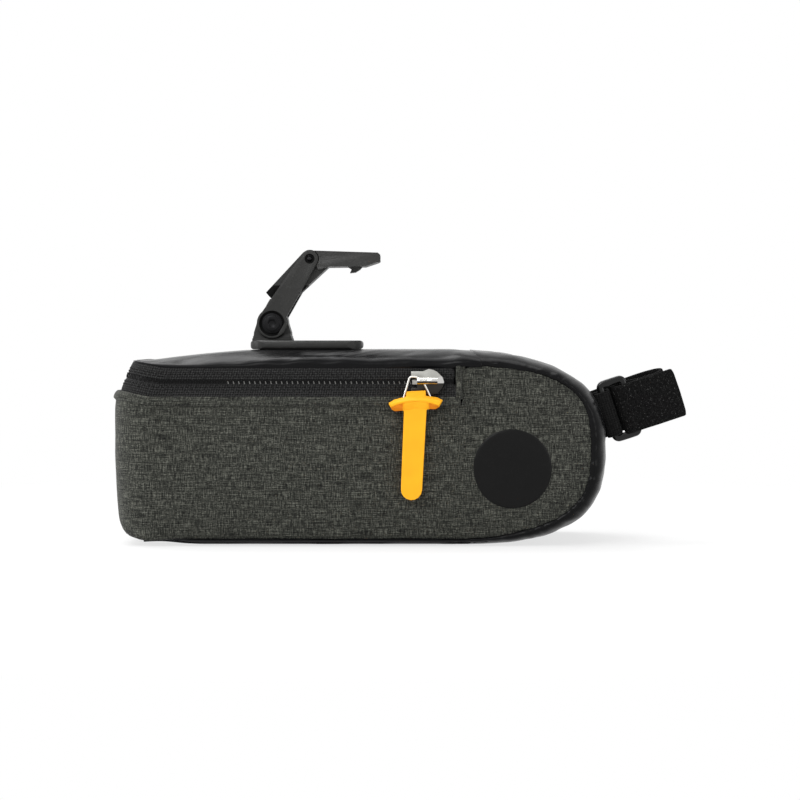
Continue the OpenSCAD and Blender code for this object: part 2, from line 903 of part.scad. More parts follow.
module ring_tab() {
  color([0.1, 0.1, 0.1])
    strap_frame()
      difference() {
        webbing(ribbon(smooth(tab_path, 2), 1.2));
        translate([root_u, 0, -web_w])
          cylinder(r = web_t + 0.02, h = 2 * web_w);
      }
}

module seatpost_strap() {
  color([0.13, 0.13, 0.13])
    strap_frame() {
      webbing(ribbon(smooth(strap_path, 2), web_t));
      translate([root_u, 0, -web_w / 2])
        cylinder(r = web_t, h = web_w);
    }
}

side_panel();
gusset();
bottom_board();
side_binding();
zip_tape_lower();
zip_coil_lower();
zip_end_tabs();
disc_patch();
strap_anchor();
lid_panel();
lid_board();
zip_tape_upper();
zip_coil_upper();
clip_base();
clip_screws();
clip_arm();
hinge_screw();
hinge_washer();
hinge_nut();
lever_pin();
clip_lever();
slider_body();
pull_wire();
pull_tab();
strap_ring();
ring_tab();
seatpost_strap();
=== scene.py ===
"""Saddle bag: the fabric, zip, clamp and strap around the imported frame, with its studio."""

import json
import math

import bmesh
import bpy
from mathutils import Matrix, Vector, noise
from mathutils.geometry import delaunay_2d_cdt

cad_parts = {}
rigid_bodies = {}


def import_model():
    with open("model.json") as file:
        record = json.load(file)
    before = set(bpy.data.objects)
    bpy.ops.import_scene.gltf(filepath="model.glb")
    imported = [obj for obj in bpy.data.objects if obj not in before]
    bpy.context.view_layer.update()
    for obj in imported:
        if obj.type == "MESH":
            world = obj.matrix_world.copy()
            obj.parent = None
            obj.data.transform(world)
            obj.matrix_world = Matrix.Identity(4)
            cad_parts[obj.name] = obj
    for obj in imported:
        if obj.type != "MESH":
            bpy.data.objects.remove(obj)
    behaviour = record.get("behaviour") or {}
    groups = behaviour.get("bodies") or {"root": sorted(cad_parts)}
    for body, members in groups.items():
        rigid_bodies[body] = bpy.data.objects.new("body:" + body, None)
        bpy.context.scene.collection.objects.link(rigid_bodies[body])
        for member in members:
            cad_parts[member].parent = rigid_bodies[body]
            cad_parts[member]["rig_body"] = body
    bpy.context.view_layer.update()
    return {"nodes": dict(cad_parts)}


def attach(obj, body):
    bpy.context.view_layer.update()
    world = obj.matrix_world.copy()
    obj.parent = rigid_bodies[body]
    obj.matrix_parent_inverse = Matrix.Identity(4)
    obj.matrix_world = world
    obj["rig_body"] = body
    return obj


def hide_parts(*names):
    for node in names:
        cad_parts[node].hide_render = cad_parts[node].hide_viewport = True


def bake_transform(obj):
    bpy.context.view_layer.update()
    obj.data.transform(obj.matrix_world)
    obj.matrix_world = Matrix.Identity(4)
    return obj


bl_info = {
    "name": "Saddle bag",
    "version": (1, 0, 0),
    "blender": (4, 5, 0),
    "location": "View3D > Sidebar > Bag",
    "description": "Builds the sewn bag, its zip, clamp and strap on a fixed frame",
    "category": "Object",
}

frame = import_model()
MM = 0.001

# Shape of the bag in millimetres, as the frame has it
REAR, NOSE, HALF, TOP = -100.5, 100.5, 39.5, 81.0
CORNER_R, HEEL_R, HEEL_LOW = 16.0, 10.5, 1.8
ZIP_LOW, ZIP_TOP, LIP_SEAM = 61.5, 73.5, 58.3
HINGE_X, TAB_X = 42.0, 39.0
WALL = 2.4
CROWN_HALF = 24.0
SEAM_NOSE, SEAM_LOW, SEAM_TOP = 95.9, 2.6, 75.4
COIL_Z = 67.25
TAPE_IN, LEAN_REAR, LEAN_SIDE = 0.5, 5.2, 1.2
GUSSET_END = 81.0
# The padding stands proud of the solids: at the rear, and before the nose
REAR_BULGE, FULL_NOSE = 2.0, 1.8
# The nose is made of superellipses: how long they are below and above, the height that they
# meet at, and their powers below and above
NOSE_LOW, NOSE_HIGH = 61, 71
SEAM_MIDDLE, SEAM_POWERS = 37, (2.5, 3.25)
CROWN_MIDDLE, CROWN_POWERS = 41, (2.8, 2.6)
# Runs of the side panel, laid flat: along a side, round a corner and across the rear
PANEL_SIDE = SEAM_NOSE - (REAR + CORNER_R)
PANEL_TURN = math.pi / 2 * CORNER_R
PANEL_BACK = 2 * (HALF - CORNER_R)


# ------------------------------------------------------------------ small helpers


def smooth_step(x):
    x = min(1.0, max(0.0, x))
    return x * x * (3 - 2 * x)


def mix(a, b, t):
    return a + (b - a) * t


def linear(*rgb):
    """A colour written as 0 to 255 display values, as the linear colour a shader takes."""
    out = []
    for c in rgb:
        c /= 255
        out.append(c / 12.92 if c <= 0.04045 else ((c + 0.055) / 1.055) ** 2.4)
    return (*out, 1.0)


def shade(colour, factor=1.0):
    """A display colour made darker or paler, as the linear colour a shader takes."""
    return linear(*[min(255, c * factor) for c in colour])


def ripple(x, y, z, size):
    """Smooth noise of millimetres, about size long."""
    return noise.noise(Vector((x, y, z)) / size)


def super_arc(cx, cz, a, b, n, deg):
    """Point of a superellipse in X and Z at an angle."""
    t = math.radians(deg)
    c, s = math.cos(t), math.sin(t)
    return Vector((
        cx + a * math.copysign(abs(c) ** (2 / n), c),
        cz + b * math.copysign(abs(s) ** (2 / n), s),
    ))


def seam_point(deg):
    """Side seam in X and Z: below the nose from -90 to 0 degrees, over it from 0 to 90."""
    if deg < 0:
        return super_arc(SEAM_NOSE - NOSE_LOW, SEAM_MIDDLE, NOSE_LOW, SEAM_MIDDLE - SEAM_LOW,
                         SEAM_POWERS[0], deg)
    return super_arc(SEAM_NOSE - NOSE_HIGH, SEAM_MIDDLE, NOSE_HIGH, SEAM_TOP - SEAM_MIDDLE,
                     SEAM_POWERS[1], deg)


def crown_point(deg):
    """Crown outline in X and Z, by the same angle as the seam."""
    if deg < 0:
        return super_arc(NOSE - NOSE_LOW, CROWN_MIDDLE, NOSE_LOW + FULL_NOSE, CROWN_MIDDLE,
                         CROWN_POWERS[0], deg)
    return super_arc(NOSE - NOSE_HIGH, CROWN_MIDDLE, NOSE_HIGH + FULL_NOSE, TOP - CROWN_MIDDLE,
                     CROWN_POWERS[1], deg)


def height_on(x, cx, cz, a, b, n):
    """Height of the upper front quarter of a superellipse at x."""
    t = max(0.0, (x - cx) / a)
    return cz + b * max(0.0, 1 - t ** n) ** (1 / n)


def seam_high(x):
    return height_on(x, SEAM_NOSE - NOSE_HIGH, SEAM_MIDDLE, NOSE_HIGH, SEAM_TOP - SEAM_MIDDLE,
                     SEAM_POWERS[1])


def crown_high(x):
    return height_on(x, NOSE - NOSE_HIGH, CROWN_MIDDLE, NOSE_HIGH + FULL_NOSE,
                     TOP - CROWN_MIDDLE, CROWN_POWERS[1])


def plan_half(x):
    """Half the width of the bag at x, round its rear corners."""
    into = max(0.0, REAR + CORNER_R - x)
    return HALF - CORNER_R + math.sqrt(max(0.0, CORNER_R ** 2 - into ** 2))


def heel_x(z):
    """Rearmost x of the heel at a height."""
    drop = min(HEEL_R, max(0.0, HEEL_LOW + HEEL_R - z))
    return REAR + HEEL_R - math.sqrt(HEEL_R ** 2 - drop ** 2)


def plan_ring(rear, half, r, front, sides=44, corner=14, back=9):
    """Points and outward normals along a plan outline, from the near front round the rear."""
    points, normals = [], []
    cx, cy = rear + r, half - r
    for i in range(sides):
        points.append(Vector((mix(front, cx, i / sides), -half)))
        normals.append(Vector((0, -1)))
    for side in (-1, 1):
        for i in range(corner):
            t = math.radians(90 * i / corner)
            n = Vector((-math.sin(t), -math.cos(t)))
            if side > 0:
                n = Vector((-math.cos(t), math.sin(t)))
            points.append(Vector((cx, side * cy)) + n * r)
            normals.append(n)
        if side < 0:
            for i in range(back):
                points.append(Vector((rear, mix(-cy, cy, i / back))))
                normals.append(Vector((-1, 0)))
    for i in range(sides + 1):
        points.append(Vector((mix(cx, front, i / sides), half)))
        normals.append(Vector((0, 1)))
    return points, normals


def zip_ring(z, front, **counts):
    """Ring of the leaning zip band at a height."""
    f = (z - ZIP_LOW) / (ZIP_TOP - ZIP_LOW)
    return plan_ring(
        REAR + TAPE_IN + LEAN_REAR * f, HALF - TAPE_IN - LEAN_SIDE * f,
        CORNER_R - TAPE_IN - LEAN_SIDE * f, front, **counts)


def rear_lift(x, z):
    """The rear end of the zip rises a little, its upper edge from further forward."""
    f = min(1.0, max(0.0, (z - ZIP_LOW) / (ZIP_TOP - ZIP_LOW)))
    start = mix(-84, -76, f)
    return mix(2.5, 2.8, f) * smooth_step((start - x) / (start + 100))


def low_edge(x):
    """Height of the side panel's lower seam: it runs further under at the heel."""
    return mix(SEAM_LOW, HEEL_LOW, smooth_step((-78 - x) / 16))


def rear_bulge(x, z):
    """How far the padded rear stands proud of its frame."""
    return REAR_BULGE * smooth_step(z / 40) * smooth_step((REAR + 32 - x) / 26)


# ------------------------------------------------------------------ mesh building


def loft(rings, closed=False, caps=False):
    """Extrudes the first ring through the others and gives every face its real-size UV."""
    bm = bmesh.new()
    place = bm.verts.layers.int.new("place")
    row = bm.verts.layers.int.new("row")
    first = [bm.verts.new(p) for p in rings[0]]
    for k, v in enumerate(first):
        v[place] = k
    pairs = list(zip(first, first[1:]))
    if closed:
        pairs.append((first[-1], first[0]))
    edges = [bm.edges.new(p) for p in pairs]
    start = list(edges)
    for n, points in enumerate(rings[1:], 1):
        made = bmesh.ops.extrude_edge_only(bm, edges=edges)["geom"]
        for v in made:
            if isinstance(v, bmesh.types.BMVert):
                v.co = points[v[place]]
                v[row] = n
        edges = [e for e in made if isinstance(e, bmesh.types.BMEdge)
                 and e.verts[0][row] == n and e.verts[1][row] == n]
    count = len(rings[0])
    middle = rings[len(rings) // 2]
    along = [0.0]
    for k in range(count - (0 if closed else 1)):
        along.append(along[-1] + (middle[(k + 1) % count] - middle[k]).length)
    across = [0.0]
    mid = count // 2
    for a, b in zip(rings, rings[1:]):
        across.append(across[-1] + (b[mid] - a[mid]).length)
    uv = bm.loops.layers.uv.new("UVMap")
    for face in bm.faces:
        wraps = closed and any(v[place] == count - 1 for v in face.verts)
        for loop in face.loops:
            k = loop.vert[place]
            u = along[count] if wraps and k == 0 else along[k]
            loop[uv].uv = (u * MM, across[loop.vert[row]] * MM)
    if caps:
        bmesh.ops.contextual_create(bm, geom=start)
        bmesh.ops.contextual_create(bm, geom=edges)
        bmesh.ops.recalc_face_normals(bm, faces=bm.faces)
    return bm


def face_out(bm, centre):
    """Turns an open sheet so that its faces point away from a centre."""
    out = sum((f.normal.dot(f.calc_center_median() - centre) * f.calc_area() for f in bm.faces))
    if out < 0:
        bmesh.ops.reverse_faces(bm, faces=bm.faces)


def box_uv(bm):
    """UV in real size from the side that each face looks to."""
    uv = bm.loops.layers.uv.get("UVMap") or bm.loops.layers.uv.new("UVMap")
    bm.normal_update()
    for face in bm.faces:
        n = [abs(c) for c in face.normal]
        a, b = ((1, 2), (0, 2), (0, 1))[n.index(max(n))]
        for loop in face.loops:
            loop[uv].uv = (loop.vert.co[a] * MM, loop.vert.co[b] * MM)


def subdivide(obj, levels):
    sub = obj.modifiers.new("Subdivision", "SUBSURF")
    sub.levels = sub.render_levels = levels


def piece(bm, name, materials, body=None, nodes=(), sharp=None, levels=0,
          thickness=0.0):
    """Makes an object of a mesh in millimetres, finished and riding on its body."""
    bmesh.ops.scale(bm, vec=(MM, MM, MM), verts=bm.verts)
    mesh = bpy.data.meshes.new(name)
    bm.to_mesh(mesh)
    bm.free()
    for polygon in mesh.polygons:
        polygon.use_smooth = True
    if sharp:
        mesh.set_sharp_from_angle(angle=math.radians(sharp))
    obj = bpy.data.objects.new(name, mesh)
    bpy.context.scene.collection.objects.link(obj)
    for material in materials:
        mesh.materials.append(material)
    if levels:
        subdivide(obj, levels)
    if thickness:
        wall = obj.modifiers.new("Wall", "SOLIDIFY")
        wall.thickness = thickness * MM
        wall.offset = -1
        wall.use_even_offset = False
        wall.material_offset = wall.material_offset_rim = 1
    if body:
        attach(obj, body)
    if nodes:
        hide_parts(*nodes)
    return obj


def solid_of(node):
    """A merged copy of a frame node's mesh in millimetres, with its flat faces whole."""
    bm = bmesh.new()
    bm.from_mesh(frame["nodes"][node].data)
    bmesh.ops.scale(bm, vec=(1000, 1000, 1000), verts=bm.verts)
    bmesh.ops.remove_doubles(bm, verts=bm.verts, dist=0.004)
    bmesh.ops.dissolve_limit(bm, angle_limit=math.radians(0.6), use_dissolve_boundaries=False,
                             verts=bm.verts, edges=bm.edges, delimit={"NORMAL"})
    return bm


def round_edges(bm, width, segments=3, angle=32, keep=lambda edge: True):
    """Bevels the sharp edges."""
    edges = [e for e in bm.edges if len(e.link_faces) == 2
             and e.calc_face_angle(0) > math.radians(angle) and keep(e)]
    bmesh.ops.bevel(bm, geom=edges, offset=width, offset_type="OFFSET", segments=segments,
                    profile=0.5, affect="EDGES", material=-1, clamp_overlap=True)


def cut_by(bm, place, normal, clear=False):
    """Cuts every face by a plane, and with clear takes away what lies before it."""
    return bmesh.ops.bisect_plane(
        bm, geom=bm.verts[:] + bm.edges[:] + bm.faces[:], dist=0.001, clear_outer=clear,
        plane_co=place, plane_no=normal)["geom_cut"]


def dressed(node, material, width, segments=3, angle=32, dark=None, split=None):
    """A frame node with its edges rounded as they are moulded, cast or turned."""
    bm = solid_of(node)
    round_edges(bm, width, segments, angle)
    if split:
        cut_by(bm, (0, 0, split), (0, 0, 1))
    materials = [material]
    if dark:
        # Faces chosen by dark take near-black nylon as painted shade
        materials.append(MATERIALS["shade"])
        for f in bm.faces:
            f.material_index = int(dark(f.calc_center_median()))
    box_uv(bm)
    return piece(bm, node + "_dressed", materials, frame["nodes"][node]["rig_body"], [node],
                 sharp=40)


# ------------------------------------------------------------------ materials


class Nodes:
    """Short way to lay out the nodes of a material or a group."""

    def __init__(self, tree):
        self.tree = tree

    def add(self, kind, **values):
        n = self.tree.nodes.new(kind)
        for key, value in values.items():
            setattr(n, key, value)
        return n

    def join(self, a, b):
        self.tree.links.new(a, b)

    def math(self, operation, a, b=None):
        n = self.add("ShaderNodeMath", operation=operation)
        for socket, value in zip(n.inputs, (a, b)):
            if value is None:
                continue
            if isinstance(value, (int, float)):
                socket.default_value = value
            else:
                self.join(value, socket)
        return n.outputs[0]

    def weighted(self, *pairs):
        """Sum of values, each times its weight."""
        total = None
        for value, weight in pairs:
            part = value if weight == 1 else self.math("MULTIPLY", value, weight)
            total = part if total is None else self.math("ADD", total, part)
        return total

    def noise(self, vector, scale, detail=2.0, rough=0.5):
        n = self.add("ShaderNodeTexNoise")
        n.inputs["Scale"].default_value = scale
        n.inputs["Detail"].default_value = detail
        n.inputs["Roughness"].default_value = rough
        self.join(vector, n.inputs["Vector"])
        return n.outputs["Fac"]

    def stretch(self, vector, scale):
        n = self.add("ShaderNodeMapping")
        n.inputs["Scale"].default_value = scale
        self.join(vector, n.inputs["Vector"])
        return n.outputs["Vector"]

    def ramp(self, value, stops):
        n = self.add("ShaderNodeValToRGB")
        ramp = n.color_ramp
        while len(ramp.elements) < len(stops):
            ramp.elements.new(0.5)
        for element, (at, colour) in zip(ramp.elements, stops):
            element.position = at
            element.color = colour if len(colour) == 4 else (*colour, 1)
        self.join(value, n.inputs["Fac"])
        return n.outputs["Color"]

    def blend(self, factor, a, b, how="MIX"):
        n = self.add("ShaderNodeMix", data_type="RGBA", blend_type=how)
        for index, value in ((0, factor), (6, a), (7, b)):
            if isinstance(value, (int, float, tuple)):
                n.inputs[index].default_value = value
            else:
                self.join(value, n.inputs[index])
        return n.outputs[2]

    def group(self, name, **values):
        n = self.add("ShaderNodeGroup", node_tree=bpy.data.node_groups[name])
        for key, value in values.items():
            socket = n.inputs[key]
            if isinstance(value, (int, float)):
                socket.default_value = value
            else:
                self.join(value, socket)
        return n


def new_group(name, inputs, outputs):
    tree = bpy.data.node_groups.new(name, "ShaderNodeTree")
    for label, kind, default in inputs:
        socket = tree.interface.new_socket(label, in_out="INPUT", socket_type=kind)
        if default is not None:
            socket.default_value = default
    for label, kind in outputs:
        tree.interface.new_socket(label, in_out="OUTPUT", socket_type=kind)
    n = Nodes(tree)
    return n, n.add("NodeGroupInput"), n.add("NodeGroupOutput")


def make_groups():
    """Shared effects: woven threads, moulded grain and handling marks."""
    n, here, out = new_group(
        "Plain weave",
        [("Vector", "NodeSocketVector", None), ("Threads", "NodeSocketFloat", 2200.0)],
        [("Height", "NodeSocketFloat")])
    scaled = n.add("ShaderNodeVectorMath", operation="SCALE")
    n.join(here.outputs["Vector"], scaled.inputs[0])
    n.join(here.outputs["Threads"], scaled.inputs["Scale"])
    split = n.add("ShaderNodeSeparateXYZ")
    n.join(scaled.outputs[0], split.inputs[0])
    along = n.math("ABSOLUTE", n.math("SINE", n.math("MULTIPLY", split.outputs[0], math.pi)))
    across = n.math("ABSOLUTE", n.math("SINE", n.math("MULTIPLY", split.outputs[1], math.pi)))
    cell = n.math("ADD", n.math("FLOOR", split.outputs[0]), n.math("FLOOR", split.outputs[1]))
    over = n.math("MODULO", n.math("ABSOLUTE", cell), 2.0)
    under = n.math("SUBTRACT", 1.0, over)
    height = n.math("ADD", n.math("MULTIPLY", along, over), n.math("MULTIPLY", across, under))
    n.join(height, out.inputs["Height"])

    n, here, out = new_group(
        "Moulded grain",
        [("Vector", "NodeSocketVector", None), ("Scale", "NodeSocketFloat", 900.0)],
        [("Height", "NodeSocketFloat"), ("Speckle", "NodeSocketFloat")])
    fine = n.add("ShaderNodeTexNoise")
    fine.inputs["Detail"].default_value = 3.0
    n.join(here.outputs["Vector"], fine.inputs["Vector"])
    n.join(here.outputs["Scale"], fine.inputs["Scale"])
    cells = n.add("ShaderNodeTexVoronoi")
    n.join(here.outputs["Vector"], cells.inputs["Vector"])
    n.join(n.math("MULTIPLY", here.outputs["Scale"], 1.7), cells.inputs["Scale"])
    n.join(n.weighted((fine.outputs["Fac"], 1), (cells.outputs["Distance"], 0.4)),
           out.inputs["Height"])
    n.join(n.math("GREATER_THAN", fine.outputs["Fac"], 0.63), out.inputs["Speckle"])

    n, here, out = new_group(
        "Handling marks", [("Vector", "NodeSocketVector", None)], [("Mask", "NodeSocketFloat")])
    broad = n.noise(here.outputs["Vector"], 38.0, 4.0, 0.62)
    streaks = n.noise(n.stretch(here.outputs["Vector"], (60, 400, 700)), 1.0, 2.0)
    n.join(n.math("MULTIPLY", broad, streaks), out.inputs["Mask"])


def start_material(name, colour=None, roughness=0.5, **sockets):
    material = bpy.data.materials.new(name)
    material.use_nodes = True
    n = Nodes(material.node_tree)
    n.tree.nodes.clear()
    out = n.add("ShaderNodeOutputMaterial")
    shader = n.add("ShaderNodeBsdfPrincipled")
    n.join(shader.outputs[0], out.inputs["Surface"])
    if colour:
        shader.inputs["Base Color"].default_value = colour
    shader.inputs["Roughness"].default_value = roughness
    for key, value in sockets.items():
        shader.inputs[key.replace("_", " ")].default_value = value
    return material, n, shader


def bump(n, shader, height, strength, distance):
    node = n.add("ShaderNodeBump")
    node.inputs["Strength"].default_value = strength
    node.inputs["Distance"].default_value = distance
    n.join(height, node.inputs["Height"])
    n.join(node.outputs[0], shader.inputs["Normal"])


def handled(n, shader, here, amount, low):
    """Roughness that rises with the handling marks; gives their mask."""
    mask = n.group("Handling marks", Vector=here).outputs["Mask"]
    n.join(n.math("ADD", n.math("MULTIPLY", mask, amount), low), shader.inputs["Roughness"])
    return mask


def coordinates(n, kind="UV"):
    return n.add("ShaderNodeTexCoord").outputs[kind]


def melange_fabric():
    """Woven polyester of dark and pale threads: long dark slubs across, fine pale threads up."""
    m, n, shader = start_material("Melange fabric", roughness=0.9, Specular_IOR_Level=0.12,
                                  Sheen_Weight=0.12, Sheen_Roughness=0.4)
    uv = coordinates(n)
    weave = n.group("Plain weave", Vector=uv, Threads=1500.0)
    slubs = n.noise(n.stretch(uv, (110, 2400, 1)), 1.0, 2.0, 0.8)
    dashes = n.noise(n.stretch(uv, (900, 3600, 1)), 1.0, 1.0, 0.6)
    threads = n.noise(n.stretch(uv, (3000, 260, 1)), 1.0, 2.0, 0.7)
    value = n.weighted((slubs, 0.34), (dashes, 0.24), (threads, 0.42))
    colour = n.ramp(value, [
        (0.4, linear(14, 14, 13)), (0.46, linear(39, 40, 37)),
        (0.52, linear(59, 60, 55)), (0.6, linear(106, 107, 99))])
    gaps = n.ramp(weave.outputs["Height"], [(0.0, (0.5, 0.5, 0.5)), (0.6, (1, 1, 1))])
    n.join(n.blend(0.75, colour, gaps, "MULTIPLY"), shader.inputs["Base Color"])
    bump(n, shader, n.weighted((weave.outputs["Height"], 1), (value, 1.6)), 0.5, 0.0002)
    return m


def coated_fabric(name, colour, roughness, gloss):
    """Black fabric with a smooth polyurethane face."""
    m, n, shader = start_material(name, roughness=roughness, Specular_IOR_Level=gloss)
    here = coordinates(n, "Object")
    grain = n.group("Moulded grain", Vector=here, Scale=1500.0)
    tone = n.ramp(n.noise(here, 55.0, 3.0), [(0.3, shade(colour, 0.86)), (0.7, shade(colour, 1.18))])
    n.join(tone, shader.inputs["Base Color"])
    handled(n, shader, here, 0.22, roughness - 0.06)
    soft = n.noise(here, 120.0, 2.0)
    bump(n, shader, n.weighted((grain.outputs["Height"], 0.12), (soft, 1)), 0.3, 0.0006)
    return m


def woven_tape(name="Zip tape", colour=(22, 22, 22), ribs=1000.0):
    """Tightly woven tape with fine ribs across it."""
    m, n, shader = start_material(name, roughness=0.88, Specular_IOR_Level=0.1)
    uv = coordinates(n)
    weave = n.group("Plain weave", Vector=uv, Threads=ribs)
    fuzz = n.noise(uv, 1250.0, 3.0, 0.7)
    value = n.weighted((weave.outputs["Height"], 0.3), (fuzz, 0.7))
    n.join(n.ramp(value, [
        (0.36, shade(colour, 0.25)), (0.5, shade(colour, 0.9)), (0.68, shade(colour, 2.5))]),
        shader.inputs["Base Color"])
    bump(n, shader, value, 0.5, 0.0002)
    return m


def velour_webbing():
    """Hook-and-loop webbing: short looped pile that catches the light."""
    m, n, shader = start_material("Velour webbing", roughness=0.95, Specular_IOR_Level=0.08)
    uv = coordinates(n)
    pile = n.noise(uv, 2000.0, 4.0, 0.75)
    tufts = n.noise(uv, 900.0, 2.0, 0.6)
    value = n.weighted((pile, 0.7), (tufts, 0.3))
    n.join(n.ramp(value, [
        (0.4, linear(6, 6, 6)), (0.53, linear(19, 19, 19)), (0.6, linear(36, 36, 36)),
        (0.67, linear(128, 128, 125))]),
        shader.inputs["Base Color"])
    bump(n, shader, value, 0.8, 0.0004)
    return m


def moulded_nylon(name="Clamp nylon", colour=(50, 50, 49), roughness=0.46, scale=900.0,
                  depth=0.00018, gloss=0.22):
    """Glass-filled nylon from a spark-eroded mould."""
    m, n, shader = start_material(name, roughness=roughness, Specular_IOR_Level=gloss)
    here = coordinates(n, "Object")
    grain = n.group("Moulded grain", Vector=here, Scale=scale)
    tone = n.ramp(n.noise(here, 90.0, 3.0), [(0.3, shade(colour, 0.92)), (0.7, shade(colour, 1.06))])
    speckle = n.math("MULTIPLY", grain.outputs["Speckle"], 0.5)
    n.join(n.blend(speckle, tone, shade(colour, 1.22)), shader.inputs["Base Color"])
    handled(n, shader, here, 0.25, roughness - 0.07)
    bump(n, shader, grain.outputs["Height"], 0.45, depth)
    return m


def gloss_plastic(name, colour, roughness, gloss=0.3):
    """Smooth moulded plastic with faint flow marks."""
    m, n, shader = start_material(name, roughness=roughness, Specular_IOR_Level=gloss)
    here = coordinates(n, "Object")
    mask = handled(n, shader, here, 0.3, roughness - 0.05)
    n.join(n.ramp(mask, [(0.1, linear(*colour)), (0.5, linear(*[c * 1.2 + 2 for c in colour]))]),
           shader.inputs["Base Color"])
    bump(n, shader, n.noise(here, 260.0, 2.0), 0.12, 0.0003)
    return m


def metal(name, colour, roughness, cast=0.0):
    """Plated or blackened metal; cast gives the matt, pitted surface of a die casting."""
    m, n, shader = start_material(name, roughness=roughness, Metallic=1.0)
    here = coordinates(n, "Object")
    mask = handled(n, shader, here, 0.35, roughness - 0.05)
    pits = n.noise(here, 2100.0, 3.0, 0.75)
    worn = n.blend(n.math("MULTIPLY", pits, cast * 2), linear(*colour), shade(colour, 0.55))
    n.join(n.blend(mask, worn, shade(colour, 0.86)), shader.inputs["Base Color"])
    bump(n, shader, pits, 0.15 + cast, 0.00012)
    return m


def pull_rubber(colour):
    """Soft matte rubber."""
    m, n, shader = start_material("Pull rubber", roughness=0.55, Specular_IOR_Level=0.2)
    here = coordinates(n, "Object")
    grain = n.group("Moulded grain", Vector=here, Scale=1300.0)
    tone = n.ramp(n.noise(here, 130.0, 3.0), [
        (0.3, [c * 0.95 for c in colour]), (0.7, [min(1, c * 1.04) for c in colour])])
    n.join(tone, shader.inputs["Base Color"])
    bump(n, shader, grain.outputs["Height"], 0.18, 0.00012)
    return m


MATERIALS = {}


def make_materials(bag):
    make_groups()
    MATERIALS.update({
        "melange": melange_fabric(),
        "coated": coated_fabric("Coated fabric", (12, 12, 13), 0.26, 0.09),
        "lining": woven_tape("Lining", (26, 26, 27), 2600.0),
        "tape": woven_tape(),
        "coil": gloss_plastic("Zip coil", (9, 9, 9), 0.4, 0.1),
        # Pale teeth colour: a painted highlight on the black coil, where light catches the teeth
        "teeth": gloss_plastic("Zip teeth", (92, 92, 90), 0.35),
        "thread": woven_tape("Sewing thread", (52, 52, 51), 5000.0),
        "cast": metal("Cast zinc", (176, 175, 170), 0.42, 0.3),
        "bar": metal("Polished bar", (206, 205, 202), 0.14),
        # Deeper orange under the wings' lip: painted shade
        "pull_shade": pull_rubber(tuple(c * s for c, s in zip(bag.pull_colour, (0.8, 0.55, 0.6)))),
        "bright": metal("Plated wire", (214, 212, 206), 0.25),
        "rubber": pull_rubber(tuple(bag.pull_colour)),
        "nylon": moulded_nylon(colour=(44, 44, 43)),
        "lever": moulded_nylon("Lever nylon", (49, 49, 48)),
        # Near-black nylon: painted shade in the clamp's recesses and on the lever's tail
        "shade": moulded_nylon("Shadowed nylon", (12, 12, 12), 0.6, gloss=0.08),
        # Dark zinc: painted reflection on the bar's lower front and painted shade on the slider's
        # front below it
        "zinc_shade": metal("Shaded zinc", (58, 56, 53), 0.3, 0.2),
        "black_steel": metal("Blackened steel", (36, 36, 37), 0.28),
        "steel": metal("Screw steel", (176, 176, 174), 0.28),
        "webbing": velour_webbing(),
        "band": woven_tape("Strap backing", (13, 13, 13), 1100.0),
        "ring": gloss_plastic("Ring plastic", (10, 10, 10), 0.14, 0.3),
        "disc": moulded_nylon("Patch rubber", (16, 16, 16), 0.36, 700.0, 0.00008, 0.1),
        "board": moulded_nylon("Board plastic", (38, 38, 38), 0.55, 500.0, 0.0001),
    })


# ------------------------------------------------------------------ fabric shell


# Length of a mesh edge in the side panel, and the parts of its bottom and lip edges
PANEL_STEP, BOTTOM_PARTS, LIP_PARTS = 2.8, 110, 130
# Thickness of its foam in millimetres, the air pressure that fills it, and the most that the air
# may move it, in metres
FOAM, AIR, MOST_MOVED = 2.0, 4.0, 0.0011


def panel_outline(step):
    """Cut of the side panel, laid flat: distance along the wrap and height."""
    total = 2 * PANEL_SIDE + 2 * PANEL_TURN + PANEL_BACK
    near = [Vector((SEAM_NOSE - HINGE_X, LIP_SEAM))]
    climb = seam_high(HINGE_X) - LIP_SEAM
    for i in range(1, 6):
        near.append(Vector((SEAM_NOSE - HINGE_X, LIP_SEAM + climb * i / 6)))
    for deg in range(86, -90, -4):
        p = seam_point(deg)
        if p.x > HINGE_X or deg < 0:
            near.append(Vector((SEAM_NOSE - p.x, p.y)))
    spaced = []
    for a, b in zip(near, near[1:]):
        parts = max(1, round((b - a).length / step))
        spaced += [a.lerp(b, i / parts) for i in range(parts)]
    spaced.append(near[-1])
    bottom_from, bottom_to = spaced[-1].x, total - spaced[-1].x
    bottom = []
    for i in range(1, BOTTOM_PARTS):
        at = mix(bottom_from, bottom_to, i / BOTTOM_PARTS)
        bottom.append(Vector((at, low_edge(wrap(at, SEAM_LOW)[0].x))))
    far = [Vector((total - p.x, p.y)) for p in reversed(spaced)]
    lip_from, lip_to = far[-1].x, spaced[0].x
    lip = []
    for i in range(1, LIP_PARTS):
        at = mix(lip_from, lip_to, i / LIP_PARTS)
        lip.append(Vector((at, LIP_SEAM + rear_lift(wrap(at, LIP_SEAM)[0].x, LIP_SEAM))))
    return spaced + bottom + far + lip, total


